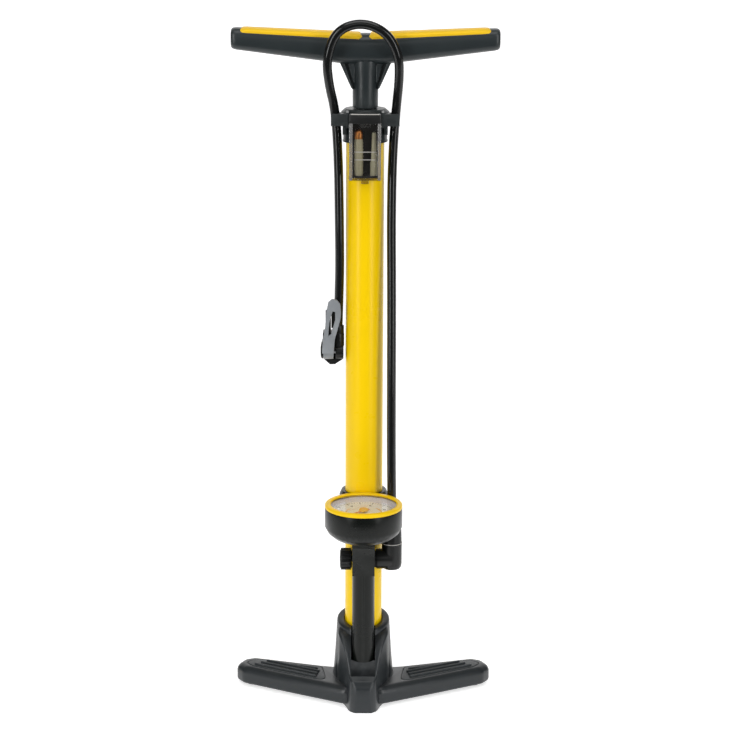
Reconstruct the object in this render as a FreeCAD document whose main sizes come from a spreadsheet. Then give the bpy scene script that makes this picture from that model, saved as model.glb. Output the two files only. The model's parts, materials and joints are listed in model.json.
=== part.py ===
"""Floor bike pump: a steel barrel on a three-point base, a T-handle on a piston rod, a gauge on a
hollow post in front, and an air hose parked in a loop over the handle.

Millimetres. The barrel's axis is Z, the floor is z = 0, the gauge faces up at -Y, and +X is on the
side where the hose leaves the fitting. Every driving size is a cell of the sheet "dims"; what
follows from them is a formula of the set "places"; each sub-part is an object bound to both.
"""
import FreeCAD, Part
import math
import os
import re
import Sketcher
from FreeCAD import Placement, Rotation, Vector

SIZES = {
    # fits and clearances
    "seat_gap": 0.05, "free_gap": 0.3, "past": 60,
    # barrel
    "barrel_d": 35, "barrel_wall": 1.2, "barrel_foot": 40, "barrel_head": 552,
    # base
    "foot_clear": 3, "foot_top": 20, "foot_wall": 3,
    "collar_top": 76, "collar_slope": 0.2, "nose_top": 30.7, "nose_rad": 16,
    "fin_top": 67.6, "channel_half": 11.4, "channel_floor": 8, "shoulder": 4,
    "foot_tip": 123, "foot_tip_y": 20, "foot_front_tip": 9.3, "foot_back_tip": 40,
    "foot_front_root": 44, "foot_back_root": 16,
    "tread_thick": 1.2, "tread_rib": 1.2,
    "pad_rad": 9, "pad_place_x": 106, "pad_place_y": 22,
    # post, cross fitting and knob
    "post_half": 10.5, "post_bore": 3, "post_foot": 45,
    "block_foot": 131, "block_top": 170,
    "cross_z": 143, "cross_bore": 4, "knob_rad": 10, "knob_long": 11.4,
    "knob_ridge": 0.6, "spindle_rad": 3, "spindle_long": 9,
    "elbow_rad": 9.3, "elbow_arm_rad": 9.6, "elbow_top": 176,
    "seal_thick": 1.2,
    "ferrule_rad": 5.4, "ferrule_long": 10,
    "clamp_foot": 186, "clamp_top": 204,
    # gauge
    "gauge_rad": 35.75, "gauge_top": 206.8, "bezel_high": 3.5,
    "bezel_lip": 1.4, "cup_wall": 2.6, "cup_shoulder": 185.4, "cup_floor": 171, "dial_drop": 8.6,
    "dial_thick": 0.8, "lens_thick": 1.9, "arbor_rad": 0.8, "pinion_teeth": 12, "sector_teeth": 72,
    "tooth_module": 0.4, "gear_thick": 2.0, "sector_z": 188, "plate_low": 183, "plate_high": 192,
    "plate_thick": 1.2, "bourdon_wide": 3, "bourdon_high": 8,
    # hose and chuck
    "hose_d": 8.4, "lever_pin_z": 338, "lever_hub": 6.8, "lever_pin_rad": 1.5,
    "lever_thick": 3, "lever_reach": 52, "chuck_low": 326, "chuck_top": 356,
    "chuck_half": 10.6, "port_rad": 9, "port_long": 8, "valve_bore": 3.95, "port_z": 341,
    "inlet_rad": 5.6, "inlet_top": 364,
    # barrel cap and adapter box
    "cap_web": 8,
    "clip_wall": 2.6,
    "clip_gap": 1.1,
    "box_half": 14.4, "box_wall": 1.5,
    "tray_thick": 2, "hinge_rad": 1,
    "cheek_edge": 17, "needle_x": -5.6, "cone_x": 7.8,
    # rod, piston and foot valve
    "rod_rad": 6, "bush_rad": 9, "piston_foot": 60, "piston_high": 16,
    "piston_gap": 0.6, "cup_lip": 0.35, "plug_top": 56,
    # handle
    "handle_half": 121,
    "handle_mid_half": 17, "handle_end_deep": 26, "handle_mid_deep": 31,
    "stem_rad": 11.4, "gusset_half": 20, "gusset_thick": 6, "grip_in": 3,
    "grip_out": 112, "grip_thick": 3.2, "grip_crown": 1.2, "grip_deep": 23,
    # out from the barrel's wall
    "post_out": 12.5, "chuck_out": 12.5, "inlet_out": 6.9, "tray_out": 2.9, "clip_fore": -8.5,
    "inlet_fore": -15.0, "lever_fore": -14.5, "clamp_wall": 5.5, "collar_wall": 7.5,
    "cap_wall": 4.5, "skirt_wall": 2.5, "clip_out": 9.5, "clip_end": 13.5, "pedestal_wall": 11.0,
    "elbow_out": 9.1, "nose_out": 38.5, "gauge_gap": 1.25,
    # behind or ahead of a neighbour, and in from the gauge's edge
    "chuck_deep": 15, "cross_back": 5, "elbow_back": 2.5, "boss_fore": 5, "hinge_fore": 4.6,
    "box_deep": 12.6, "adapter_fore": 6.1, "bezel_wide": 5.45, "bourdon_in": 11.75,
    "dial_reach": 10.75,
    # above or below the barrel's head
    "cap_rise": 12.5, "skirt_drop": 17.5, "clip_drop": 2, "clip_rise": 9, "box_drop": 49,
    "box_rise": 11, "hinge_rise": 7, "rod_rise": 66, "stem_rise": 12.9, "end_low_rise": 65.5,
    "end_high_rise": 85, "mid_low_rise": 52.5, "mid_high_rise": 80,
}

PLACES = {
    "barrel_rad": "barrel_d / 2",
    "post_y": "-barrel_rad - post_out",
    "gauge_y": "-barrel_rad - gauge_rad - gauge_gap",
    "tray_back": "-barrel_rad - tray_out",
    "lever_pin_y": "-barrel_rad - lever_fore",
    "cross_y": "post_y + cross_back",
    "chuck_x": "-barrel_rad - chuck_out",
    "inlet_x": "-barrel_rad - inlet_out",
    "clip_y": "-barrel_rad - clip_fore",
    "inlet_y": "-barrel_rad - inlet_fore",
    "clamp_rad": "barrel_rad + clamp_wall",
    "collar_rad": "barrel_rad + collar_wall",
    "cap_rad": "barrel_rad + cap_wall",
    "cap_skirt_rad": "barrel_rad + skirt_wall",
    "clip_x": "barrel_rad + clip_out",
    "clip_edge": "barrel_rad + clip_end",
    "pedestal_rad": "barrel_rad + pedestal_wall",
    "elbow_x": "barrel_rad + elbow_out",
    "chuck_back": "lever_pin_y + chuck_deep",
    "elbow_y": "cross_y + elbow_back",
    "boss_front": "post_y - boss_fore",
    "bezel_open": "gauge_rad - bezel_wide",
    "bourdon_rad": "gauge_rad - bourdon_in",
    "nose_front": "barrel_rad + nose_out",
    "hinge_y": "tray_back - hinge_fore",
    "box_front": "tray_back - box_deep",
    "adapter_y": "tray_back - adapter_fore",
    "cap_top": "barrel_head + cap_rise",
    "cap_skirt_foot": "barrel_head - skirt_drop",
    "clip_low": "barrel_head - clip_drop",
    "clip_high": "barrel_head + clip_rise",
    "box_low": "barrel_head - box_drop",
    "box_high": "barrel_head + box_rise",
    "hinge_z": "barrel_head + hinge_rise",
    "rod_top": "barrel_head + rod_rise",
    "stem_foot": "barrel_head + stem_rise",
    "handle_end_low": "barrel_head + end_low_rise",
    "handle_end_high": "barrel_head + end_high_rise",
    "handle_mid_low": "barrel_head + mid_low_rise",
    "handle_mid_high": "barrel_head + mid_high_rise",
    "needle_reach": "gauge_rad - dial_reach",
    "bore_rad": "barrel_rad - barrel_wall",
    "socket_rad": "barrel_rad + seat_gap",
    "seat_rad": "bore_rad - seat_gap",
    "tread_foot": "foot_top - tread_thick",
    "post_back": "post_y + post_half",
    "post_front": "post_y - post_half",
    "bezel_foot": "gauge_top - bezel_high",
    "cup_in": "gauge_rad - cup_wall",
    "dial_top": "gauge_top - dial_drop",
    "dial_foot": "dial_top - dial_thick",
    "pinion_rad": "pinion_teeth * tooth_module / 2",
    "sector_rad": "sector_teeth * tooth_module / 2",
    "sector_y": "gauge_y - pinion_rad - sector_rad - 0.1",
    "knob_x": "-post_half - free_gap",
    "ferrule_top": "elbow_top + ferrule_long",
    "plate_y": "lever_pin_y - lever_hub",
    "rod_bore": "rod_rad + seat_gap",
    "bush_foot": "cap_ledge - 4",
    "rod_foot": "piston_foot - 2",
    "piston_top": "piston_foot + piston_high",
    "cover_back": "hinge_y + 2.2",
    "duct_z": "channel_floor + 16",
    "screw_y": "clamp_rad + 3.5",
    "screw_z": "(clamp_foot + clamp_top - 3) / 2",
    "chuck_left": "chuck_x - chuck_half",
    "port_end": "chuck_back + port_long",
    "cap_ledge": "cap_top - cap_web",
    "piston_rad": "bore_rad - piston_gap",
    "piston_core": "seat_rad - piston_gap - 4",
    "tray_half": "box_half - 2.2",
}

doc = FreeCAD.newDocument("floor_bike_pump")
dims = doc.addObject("Spreadsheet::Sheet", "dims")
for row, (name, value) in enumerate(SIZES.items(), start=1):
    dims.set(f"A{row}", name)
    dims.set(f"B{row}", str(value))
    dims.setAlias(f"B{row}", name)
doc.recompute()

OWNER = {name: "dims." + name for name in SIZES}
OWNER.update({name: "places." + name for name in PLACES})


def full(formula):
    """Write a formula's plain names as references to the sheet and to the places."""
    return re.sub(r"[a-z_]+", lambda word: OWNER.get(word.group(0), word.group(0)), str(formula))


places = doc.addObject("App::VarSet", "places")
for name, formula in PLACES.items():
    places.addProperty("App::PropertyFloat", name, "places")
    places.setExpression(name, full(formula))
    doc.recompute()

PARTS = {}
UPRIGHT = Rotation()
ALONG_X = Rotation(Vector(0, 1, 0), 90)
ALONG_Y = Rotation(Vector(1, 0, 0), -90)


def value_of(formula):
    """The number that a formula gives with the sheet's present sizes."""
    return float(places.evalExpression(full(formula)))


def part(label, thing):
    """Name an object as a sub-part that is written out."""
    thing.Label = label
    PARTS[label] = thing
    return thing


def put(thing, at=("0", "0", "0"), turn=UPRIGHT):
    """Bind an object's place to three formulas."""
    thing.Placement = Placement(Vector(0, 0, 0), turn)
    for axis, formula in zip("xyz", at):
        if formula != "0":
            thing.setExpression(f".Placement.Base.{axis}", full(formula))
    return thing


def cylinder(radius, length, at=("0", "0", "0"), turn=UPRIGHT):
    thing = doc.addObject("Part::Cylinder", "cylinder")
    thing.setExpression("Radius", full(radius))
    thing.setExpression("Height", full(length))
    return put(thing, at, turn)


def ring(radius, section, at=("0", "0", "0"), turn=UPRIGHT):
    """A round seal: radius to the middle of its section."""
    thing = doc.addObject("Part::Torus", "ring")
    thing.setExpression("Radius1", full(radius))
    thing.setExpression("Radius2", full(section))
    return put(thing, at, turn)


def block(low, high):
    """A box between two corners, each three formulas."""
    thing = doc.addObject("Part::Box", "block")
    for side, start, end in zip(("Length", "Width", "Height"), low, high):
        thing.setExpression(side, full(f"({end}) - ({start})"))
    return put(thing, low)


def joined(*things):
    thing = doc.addObject("Part::MultiFuse", "joined")
    thing.Shapes = list(things)
    thing.Refine = True
    return thing


def group(*things):
    """Separate solids kept together as one sub-part."""
    thing = doc.addObject("Part::Compound", "group")
    thing.Links = list(things)
    return thing


def cut(base, *tools):
    thing = doc.addObject("Part::Cut", "cut")
    thing.Base = base
    thing.Tool = tools[0] if len(tools) == 1 else joined(*tools)
    return thing


def common(first, second):
    thing = doc.addObject("Part::Common", "common")
    thing.Base = first
    thing.Tool = second
    return thing


def mirrored(source):
    """The other side's copy, across the plane x = 0."""
    thing = doc.addObject("Part::Mirroring", "mirrored")
    thing.Source = source
    thing.Normal = Vector(1, 0, 0)
    return thing


def sketch_on(body, role, offset="0"):
    """A sketch on one of the body's own origin planes, moved along its normal."""
    plane = [item for item in body.Origin.OriginFeatures if item.Role == role][0]
    sketch = body.newObject("Sketcher::SketchObject", "sketch")
    sketch.AttachmentSupport = [(plane, "")]
    sketch.MapMode = "FlatFace"
    if offset != "0":
        sketch.setExpression(".AttachmentOffset.Base.z", full(offset))
    return sketch


def outline(sketch, corners):
    """A closed outline whose corners are each bound to two formulas."""
    spots = [Vector(value_of(across), value_of(up), 0) for across, up in corners]
    count = len(spots)
    for index in range(count):
        sketch.addGeometry(Part.LineSegment(spots[index], spots[(index + 1) % count]), False)
    for index in range(count):
        sketch.addConstraint(Sketcher.Constraint("Coincident", index, 2, (index + 1) % count, 1))
    for index, (across, up) in enumerate(corners):
        for kind, axis, formula in (("DistanceX", -2, across), ("DistanceY", -1, up)):
            if formula == "0":
                sketch.addConstraint(Sketcher.Constraint("PointOnObject", index, 1, axis))
            else:
                rule = Sketcher.Constraint(kind, -1, 1, index, 1, value_of(formula))
                number = sketch.addConstraint(rule)
                sketch.setExpression(f"Constraints[{number}]", full(formula))


def turned(corners, at=("0", "0", "0"), turn=UPRIGHT):
    """A body of revolution about its own Z from (radius, height) corners."""
    body = doc.addObject("PartDesign::Body", "turned")
    sketch = sketch_on(body, "XZ_Plane")
    outline(sketch, corners)
    revolution = body.newObject("PartDesign::Revolution", "revolution")
    revolution.Profile = sketch
    revolution.ReferenceAxis = (sketch, ["V_Axis"])
    revolution.Angle = 360
    body.Tip = revolution
    return put(body, at, turn)


def slab(role, corners, start, end, at=("0", "0", "0"), turn=UPRIGHT):
    """A plate: an outline on a plane, from one height along its normal to another."""
    body = doc.addObject("PartDesign::Body", "slab")
    sketch = sketch_on(body, role, start)
    outline(sketch, corners)
    pad = body.newObject("PartDesign::Pad", "pad")
    pad.Profile = sketch
    pad.setExpression("Length", full(f"({end}) - ({start})"))
    body.Tip = pad
    return put(body, at, turn)


def eased(body, kind, size, choose):
    """Fillet or chamfer the body's edges that a test picks by their two ends."""
    doc.recompute()
    base = body.Tip
    names = []
    for number, edge in enumerate(base.Shape.Edges, start=1):
        if len(edge.Vertexes) == 2 and choose(edge.Vertexes[0].Point, edge.Vertexes[1].Point):
            names.append(f"Edge{number}")
    feature = body.newObject("PartDesign::" + kind, kind.lower())
    feature.Base = (base, names)
    feature.setExpression("Radius" if kind == "Fillet" else "Size", full(size))
    body.Tip = feature
    return body


def both(points):
    """A right-hand outline, front to back, with its left-hand copy."""
    return points + [(f"-({across})", up) for across, up in reversed(points)]


# base --------------------------------------------------------------------------------------------

FOOT = [("nose_rad - 2", "-foot_front_root"), ("foot_tip - 10", "foot_front_tip"),
        ("foot_tip", "foot_tip_y - 1"), ("foot_tip - 3", "foot_tip_y + 12"),
        ("foot_tip - 15", "foot_back_tip"),
        ("38", "foot_back_root + 4"), ("20", "foot_back_root")]
TREAD = [("42", "-13"), ("foot_tip - 18", "foot_front_tip + 11"), ("foot_tip - 9", "foot_tip_y + 4"),
         ("foot_tip - 18", "foot_back_tip - 7"), ("40", "foot_back_root - 3")]


def make_base():
    feet = slab("XY_Plane", both(FOOT), "foot_clear", "foot_top")
    top = value_of("foot_top")
    eased(feet, "Chamfer", "shoulder", lambda a, b: min(a.z, b.z) > top - 0.01 and abs(a.x + b.x) > 40)
    hollow = slab("XY_Plane", [("34", "-26"), ("foot_tip - 32", "2"), ("foot_tip - 32", "26"),
                               ("34", "10")],
                  "foot_clear - 1", "foot_top - foot_wall - tread_thick")
    pedestal = turned([("0", "0"), ("pedestal_rad", "0"), ("pedestal_rad", "foot_top + 5"),
                       ("collar_rad", "collar_top + 6"), ("0", "collar_top + 6")])
    plan = slab("XY_Plane", both([("0", "-nose_front"), ("nose_rad / 2", "-nose_front"),
                                  ("nose_rad - 3", "-nose_front + 6.5"), ("nose_rad", "-nose_front + 16"),
                                  ("collar_rad - 1", "-20"), ("collar_rad - 1", "0")])[1:-1],
                "0", "collar_top")
    profile = slab("YZ_Plane", [("0", "0"), ("-nose_front", "0"), ("-nose_front + 4", "nose_top - 5"),
                                ("-nose_front + 5", "nose_top"), ("-45", "nose_top + 8"),
                                ("-35", "fin_top - 15.6"), ("-20", "fin_top"), ("-8", "collar_top - 1"),
                                ("0", "collar_top - 1")],
                   "-pedestal_rad", "pedestal_rad")
    nose = common(plan, profile)
    channel = block(("-channel_half", "-nose_front + 7.5", "post_foot"),
                    ("channel_half", "-barrel_rad + 1.5", "collar_top + 10"))
    cavity = block(("-channel_half", "-nose_front + 7.5", "channel_floor"),
                   ("channel_half", "boss_front", "collar_top + 10"))
    down = cylinder("post_bore", "post_foot - duct_z + 1", ("0", "post_y", "duct_z"))
    socket = cylinder("socket_rad", "collar_top", ("0", "0", "barrel_foot"))
    rim = slab("YZ_Plane", [("-past", "collar_top - past * collar_slope"),
                            ("past", "collar_top + past * collar_slope"),
                            ("past", "collar_top + past"), ("-past", "collar_top + past")], "-past", "past")
    duct = cylinder("post_bore", "-post_y", ("0", "post_y", "duct_z"), ALONG_Y)
    riser = cylinder("post_bore", "barrel_foot", ("0", "0", "duct_z"))
    recess = slab("XY_Plane", TREAD, "tread_foot", "foot_top + 1")
    part("base", cut(joined(feet, pedestal, nose), hollow, mirrored(hollow), channel, cavity, down,
                     socket, rim, duct, riser, recess, mirrored(recess)))


def make_treads():
    plate = slab("XY_Plane", TREAD, "tread_foot", "foot_top")
    ribs = []
    for index in range(4):
        start = f"-3 + 6.5 * {index}"
        ribs.append(slab("XY_Plane", [("48", start), ("96 - 4 * %d" % index, f"{start} + 17"),
                                      ("96 - 4 * %d" % index, f"{start} + 19.4"), ("48", f"{start} + 2.4")],
                         "foot_top", "foot_top + tread_rib"))
    tread = common(joined(plate, *ribs), slab("XY_Plane", TREAD, "0", "foot_top + tread_rib"))
    part("tread_right", tread)
    part("tread_left", mirrored(tread))


def make_rubber_feet():
    pad = turned([("0", "0"), ("pad_rad - 1", "0"), ("pad_rad", "1"), ("pad_rad", "foot_clear"),
                  ("0", "foot_clear")], ("pad_place_x", "pad_place_y", "0"))
    part("rubber_feet", group(pad, mirrored(pad)))


# barrel and foot valve ---------------------------------------------------------------------------

def make_barrel():
    part("barrel", turned([("bore_rad", "barrel_foot"), ("barrel_rad", "barrel_foot"),
                           ("barrel_rad", "barrel_head"), ("bore_rad", "barrel_head")]))
    part("foot_plug", turned([("3", "barrel_foot"), ("seat_rad", "barrel_foot"),
                              ("seat_rad", "barrel_foot + 5"), ("seat_rad - 2", "barrel_foot + 5"),
                              ("seat_rad - 2", "barrel_foot + 8"), ("seat_rad", "barrel_foot + 8"),
                              ("seat_rad", "plug_top"), ("3", "plug_top"), ("3", "barrel_foot + 13"),
                              ("5.5", "barrel_foot + 13"), ("5.5", "barrel_foot + 2"),
                              ("3", "barrel_foot + 2")]))
    part("foot_seal", ring("seat_rad - 1", "1", ("0", "0", "barrel_foot + 6.5")))
    part("check_disc", turned([("0", "barrel_foot + 10.8"), ("4.8", "barrel_foot + 10.8"),
                               ("4.8", "barrel_foot + 12.9"), ("0", "barrel_foot + 12.9")]))
    helix = Part.makeHelix(value_of("8.6 / 3.2"), value_of("7.6"), value_of("3.8"))
    wire = Part.Wire(Part.makeCircle(0.35, Vector(3.8, 0, 0), Vector(0, 1, 0)))
    coil = doc.addObject("Part::Feature", "coil")
    coil.Shape = Part.Wire(helix).makePipeShell([wire], True, True)
    coil.Placement = Placement(Vector(0, 0, value_of("barrel_foot + 2.6")), UPRIGHT)
    part("check_spring", coil)


# post, cross fitting, knob and elbow -------------------------------------------------------------

def make_gauge_stand():
    front = cylinder("post_half", "block_foot - post_foot", ("0", "post_y", "post_foot"))
    back = block(("-post_half + 1.5", "post_y", "post_foot"),
                 ("post_half - 1.5", "post_back", "block_foot"))
    neck = slab("YZ_Plane", [("post_back", "block_foot"), ("post_front", "block_foot"),
                             ("post_front - 1", "block_foot + 18"), ("post_front - 6", "block_foot + 29"),
                             ("gauge_y - 10", "cup_floor - 3"), ("gauge_y - 10", "cup_floor - 0.2"),
                             ("post_back", "cup_floor - 0.2")], "-post_half", "post_half")
    bore = cylinder("post_bore", "block_top - post_foot", ("0", "post_y", "post_foot - 1"))
    gallery = cylinder("post_bore", "cup_floor - cross_z + 1", ("0", "gauge_y + 10", "cross_z + 20"))
    spindle_hole = cylinder("spindle_rad + seat_gap", "spindle_long + 1",
                            ("-post_half - 1", "cross_y", "cross_z"), ALONG_X)
    arm_hole = cylinder("cross_bore + seat_gap", "post_half", ("post_half - 8", "cross_y", "cross_z"),
                        ALONG_X)
    part("gauge_stand", cut(joined(front, back, neck), bore, gallery, spindle_hole, arm_hole))


def make_knob():
    disc = turned([("0", "0"), ("knob_rad - 1", "0"), ("knob_rad", "1"), ("knob_rad", "knob_long - 1.5"),
                   ("knob_rad - 1.5", "knob_long"), ("0", "knob_long")],
                  ("knob_x", "cross_y", "cross_z"), Rotation(Vector(0, 1, 0), -90))
    ridges = []
    for index in range(20):
        angle = math.radians(18 * index)
        ridge = cylinder("knob_ridge", "knob_long - 3",
                         ("knob_x - knob_long + 1.7", f"cross_y + knob_rad * {math.cos(angle):.4f}",
                          f"cross_z + knob_rad * {math.sin(angle):.4f}"), ALONG_X)
        ridges.append(ridge)
    spindle = cylinder("spindle_rad", "spindle_long", ("knob_x", "cross_y", "cross_z"), ALONG_X)
    part("bleed_knob", joined(disc, spindle, *ridges))


def make_elbow():
    arm = cylinder("elbow_arm_rad", "elbow_x - post_half - seal_thick",
                   ("post_half + seal_thick", "cross_y", "cross_z"), ALONG_X)
    spigot = cylinder("cross_bore", "11", ("post_half - 7.5", "cross_y", "cross_z"), ALONG_X)
    upright = turned([("0", "cross_z - 10.4"), ("elbow_rad - 4", "cross_z - 10.4"),
                      ("elbow_rad - 1", "cross_z - 8"), ("elbow_rad", "cross_z - 4"),
                      ("elbow_rad", "cross_z + 14"), ("elbow_rad + 0.5", "cross_z + 14.5"),
                      ("elbow_rad + 0.5", "cross_z + 15.5"), ("elbow_rad", "cross_z + 16"),
                      ("elbow_rad - 0.9", "elbow_top - 2"), ("elbow_rad - 2.9", "elbow_top"),
                      ("0", "elbow_top")], ("elbow_x", "elbow_y", "0"))
    hole = cylinder("2", "elbow_top", ("elbow_x", "elbow_y", "cross_z"))
    cross_hole = cylinder("2", "elbow_x", ("post_half - 9", "cross_y", "cross_z"), ALONG_X)
    part("hose_elbow", cut(joined(arm, spigot, upright), hole, cross_hole))
    part("elbow_seal", cut(cylinder("cross_bore + 4", "seal_thick", ("post_half", "cross_y", "cross_z"),
                                    ALONG_X),
                           cylinder("cross_bore", "9", ("post_half - 4", "cross_y", "cross_z"), ALONG_X)))
    part("hose_ferrule", turned([("2", "elbow_top"), ("ferrule_rad", "elbow_top"),
                                 ("ferrule_rad", "ferrule_top - 3"),
                                 ("ferrule_rad - 0.5", "ferrule_top - 2.5"),
                                 ("ferrule_rad - 0.5", "ferrule_top - 0.2"),
                                 ("2", "ferrule_top - 0.2")],
                                ("elbow_x", "elbow_y", "0")))


def make_clamp():
    band = turned([("socket_rad", "clamp_foot"), ("clamp_rad", "clamp_foot"),
                   ("clamp_rad", "clamp_top - 4"),
                   ("clamp_rad - 2", "clamp_top"), ("socket_rad", "clamp_top")])
    ear = block(("-7", "clamp_rad - 3", "clamp_foot"), ("7", "clamp_rad + 8", "clamp_top - 3"))
    bridge = block(("-8", "-clamp_rad - 1", "clamp_foot + 1"), ("8", "-socket_rad - 1.2", "clamp_top - 3"))
    slit = block(("-1", "socket_rad - 3", "clamp_foot - 1"), ("1", "clamp_rad + 9", "clamp_top + 1"))
    face = cylinder("gauge_rad + seat_gap", "past", ("0", "gauge_y", "clamp_foot - 10"))
    hole = cylinder("2.1", "20", ("-10", "screw_y", "screw_z"), ALONG_X)
    part("barrel_clamp", cut(joined(band, ear, bridge), slit, face, hole,
                             cylinder("socket_rad", "past", ("0", "0", "clamp_foot - 10"))))
    part("clamp_screw", turned([("0", "-11"), ("2", "-11"), ("2", "7"), ("3.8", "7"), ("3.8", "9.4"),
                                ("3.2", "10"), ("0", "10")],
                               ("0", "screw_y", "screw_z"), ALONG_X))
    nut = doc.addObject("Part::Prism", "nut")
    nut.Polygon = 6
    nut.setExpression("Circumradius", full("4"))
    nut.setExpression("Height", full("3"))
    put(nut, ("-10", "screw_y", "screw_z"), ALONG_X)
    part("clamp_nut", cut(nut, cylinder("2.02", "6", ("-12", "screw_y",
                                                      "screw_z"), ALONG_X)))


# gauge -------------------------------------------------------------------------------------------

GAUGE = ("0", "gauge_y", "0")


def make_gauge():
    part("gauge_cup", turned([("6", "cup_floor"), ("gauge_rad - 18.25", "cup_floor"), ("gauge_rad - 8.75", "cup_floor + 4"),
                              ("gauge_rad - 2.8", "cup_shoulder - 5.4"), ("gauge_rad", "cup_shoulder"),
                              ("gauge_rad", "bezel_foot"), ("cup_in", "bezel_foot"),
                              ("cup_in", "dial_foot"),
                              ("cup_in - 1.4", "dial_foot"), ("cup_in - 1.4", "cup_shoulder + 1"),
                              ("gauge_rad - 8.75", "cup_floor + 8"), ("gauge_rad - 18.75", "cup_floor + 4"), ("6", "cup_floor + 4")],
                             GAUGE))
    part("gauge_bezel", turned([("cup_in + 0.1", "bezel_foot"), ("gauge_rad", "bezel_foot"),
                                ("gauge_rad", "gauge_top - 1"), ("gauge_rad - 1", "gauge_top"),
                                ("bezel_open + 0.8", "gauge_top"), ("bezel_open", "gauge_top - 0.6"),
                                ("bezel_open", "gauge_top - bezel_lip"),
                                ("cup_in + 0.1", "gauge_top - bezel_lip")], GAUGE))
    part("gauge_lens", turned([("0", "bezel_foot"), ("cup_in", "bezel_foot"),
                               ("cup_in", "bezel_foot + lens_thick"), ("0", "bezel_foot + lens_thick")],
                              GAUGE))
    part("gauge_dial", turned([("1.6", "dial_foot"), ("cup_in - 0.1", "dial_foot"),
                               ("cup_in - 0.1", "dial_top"), ("1.6", "dial_top")], GAUGE))
    part("pressure_socket", turned([("1.5", "cup_floor - 0.2"), ("5.9", "cup_floor - 0.2"),
                                    ("5.9", "cup_floor + 7"), ("3.5", "plate_low"), ("1.5", "plate_low")],
                                   GAUGE))
    plate_low = block(("-8", "sector_y - 4", "plate_low"), ("8", "gauge_y + 8", "plate_low + plate_thick"))
    plate_high = block(("-8", "sector_y - 4", "plate_high"),
                       ("8", "gauge_y + 8", "plate_high + plate_thick"))
    pillars = [cylinder("1.3", "plate_high - plate_low", (across, "gauge_y + 6", "plate_low"))
               for across in ("-6", "6")]
    holes = [cylinder("arbor_rad + seat_gap", "20", ("0", place, "plate_low - 5"))
             for place in ("gauge_y", "sector_y")]
    part("movement_frame", cut(joined(plate_low, plate_high, *pillars), *holes))
    tube = turned([("bourdon_rad - bourdon_wide", "plate_low + 1"), ("bourdon_rad", "plate_low + 1"),
                   ("bourdon_rad", "plate_low + 1 + bourdon_high"),
                   ("bourdon_rad - bourdon_wide", "plate_low + 1 + bourdon_high")], GAUGE)
    opening = slab("XY_Plane", [("2", "gauge_y"), ("40", "gauge_y - 40"), ("-40", "gauge_y - 40"),
                                ("-2", "gauge_y")], "plate_low - 3", "plate_high + 6")
    part("bourdon_tube", cut(tube, opening))


def toothed(teeth, radius, first, last):
    """A gear of straight-sided teeth, kept between two tooth numbers of a full wheel."""
    doc.recompute()
    module = value_of("tooth_module")
    pitch = 2 * math.pi / teeth
    corners = []
    root = radius - 1.1 * module
    tip = radius + 0.8 * module
    for tooth in range(first, last):
        middle = tooth * pitch
        for turn, reach in ((-0.30, root), (-0.11, tip), (0.11, tip), (0.30, root)):
            angle = middle + turn * pitch
            corners.append(Vector(reach * math.cos(angle), reach * math.sin(angle), 0))
    if last - first < teeth:
        corners.append(Vector(0, 0, 0))
    corners.append(corners[0])
    face = Part.Face(Part.makePolygon(corners))
    return face.extrude(Vector(0, 0, value_of("gear_thick")))


def make_movement():
    hub = cylinder("arbor_rad", "dial_top + 3 - plate_low", ("0", "gauge_y", "plate_low"))
    boss = cylinder("1.5", "1.6", ("0", "gauge_y", "dial_top + 0.8"))
    needle = slab("XY_Plane", [("-1.1", "-7"), ("1.1", "-7"), ("0.35", "needle_reach"), ("-0.35", "needle_reach")],
                  "dial_top + 1.2", "dial_top + 1.8", GAUGE, Rotation(Vector(0, 0, 1), 135))
    part("gauge_pointer", joined(hub, boss, needle))
    teeth = int(value_of("pinion_teeth"))
    pinion = doc.addObject("Part::Feature", "pinion_blank")
    pinion.Shape = toothed(teeth, value_of("pinion_rad"), 0, teeth)
    put(pinion, ("0", "gauge_y", "sector_z"), Rotation(Vector(0, 0, 1),
                                                       -90 + 180 / value_of("pinion_teeth")))
    part("pointer_pinion", cut(pinion, cylinder("arbor_rad", "6", ("0", "gauge_y", "sector_z - 1"))))
    blank = doc.addObject("Part::Feature", "sector_blank")
    blank.Shape = toothed(int(value_of("sector_teeth")), value_of("sector_rad"), -11, 4)
    put(blank, ("0", "sector_y", "sector_z"), Rotation(Vector(0, 0, 1), 90))
    arbor = cylinder("arbor_rad", "plate_high + plate_thick - plate_low", ("0", "sector_y", "plate_low"))
    part("sector_gear", joined(blank, arbor, cylinder("2", "3.4", ("0", "sector_y", "sector_z - 0.7"))))


# barrel cap and adapter box ----------------------------------------------------------------------

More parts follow.
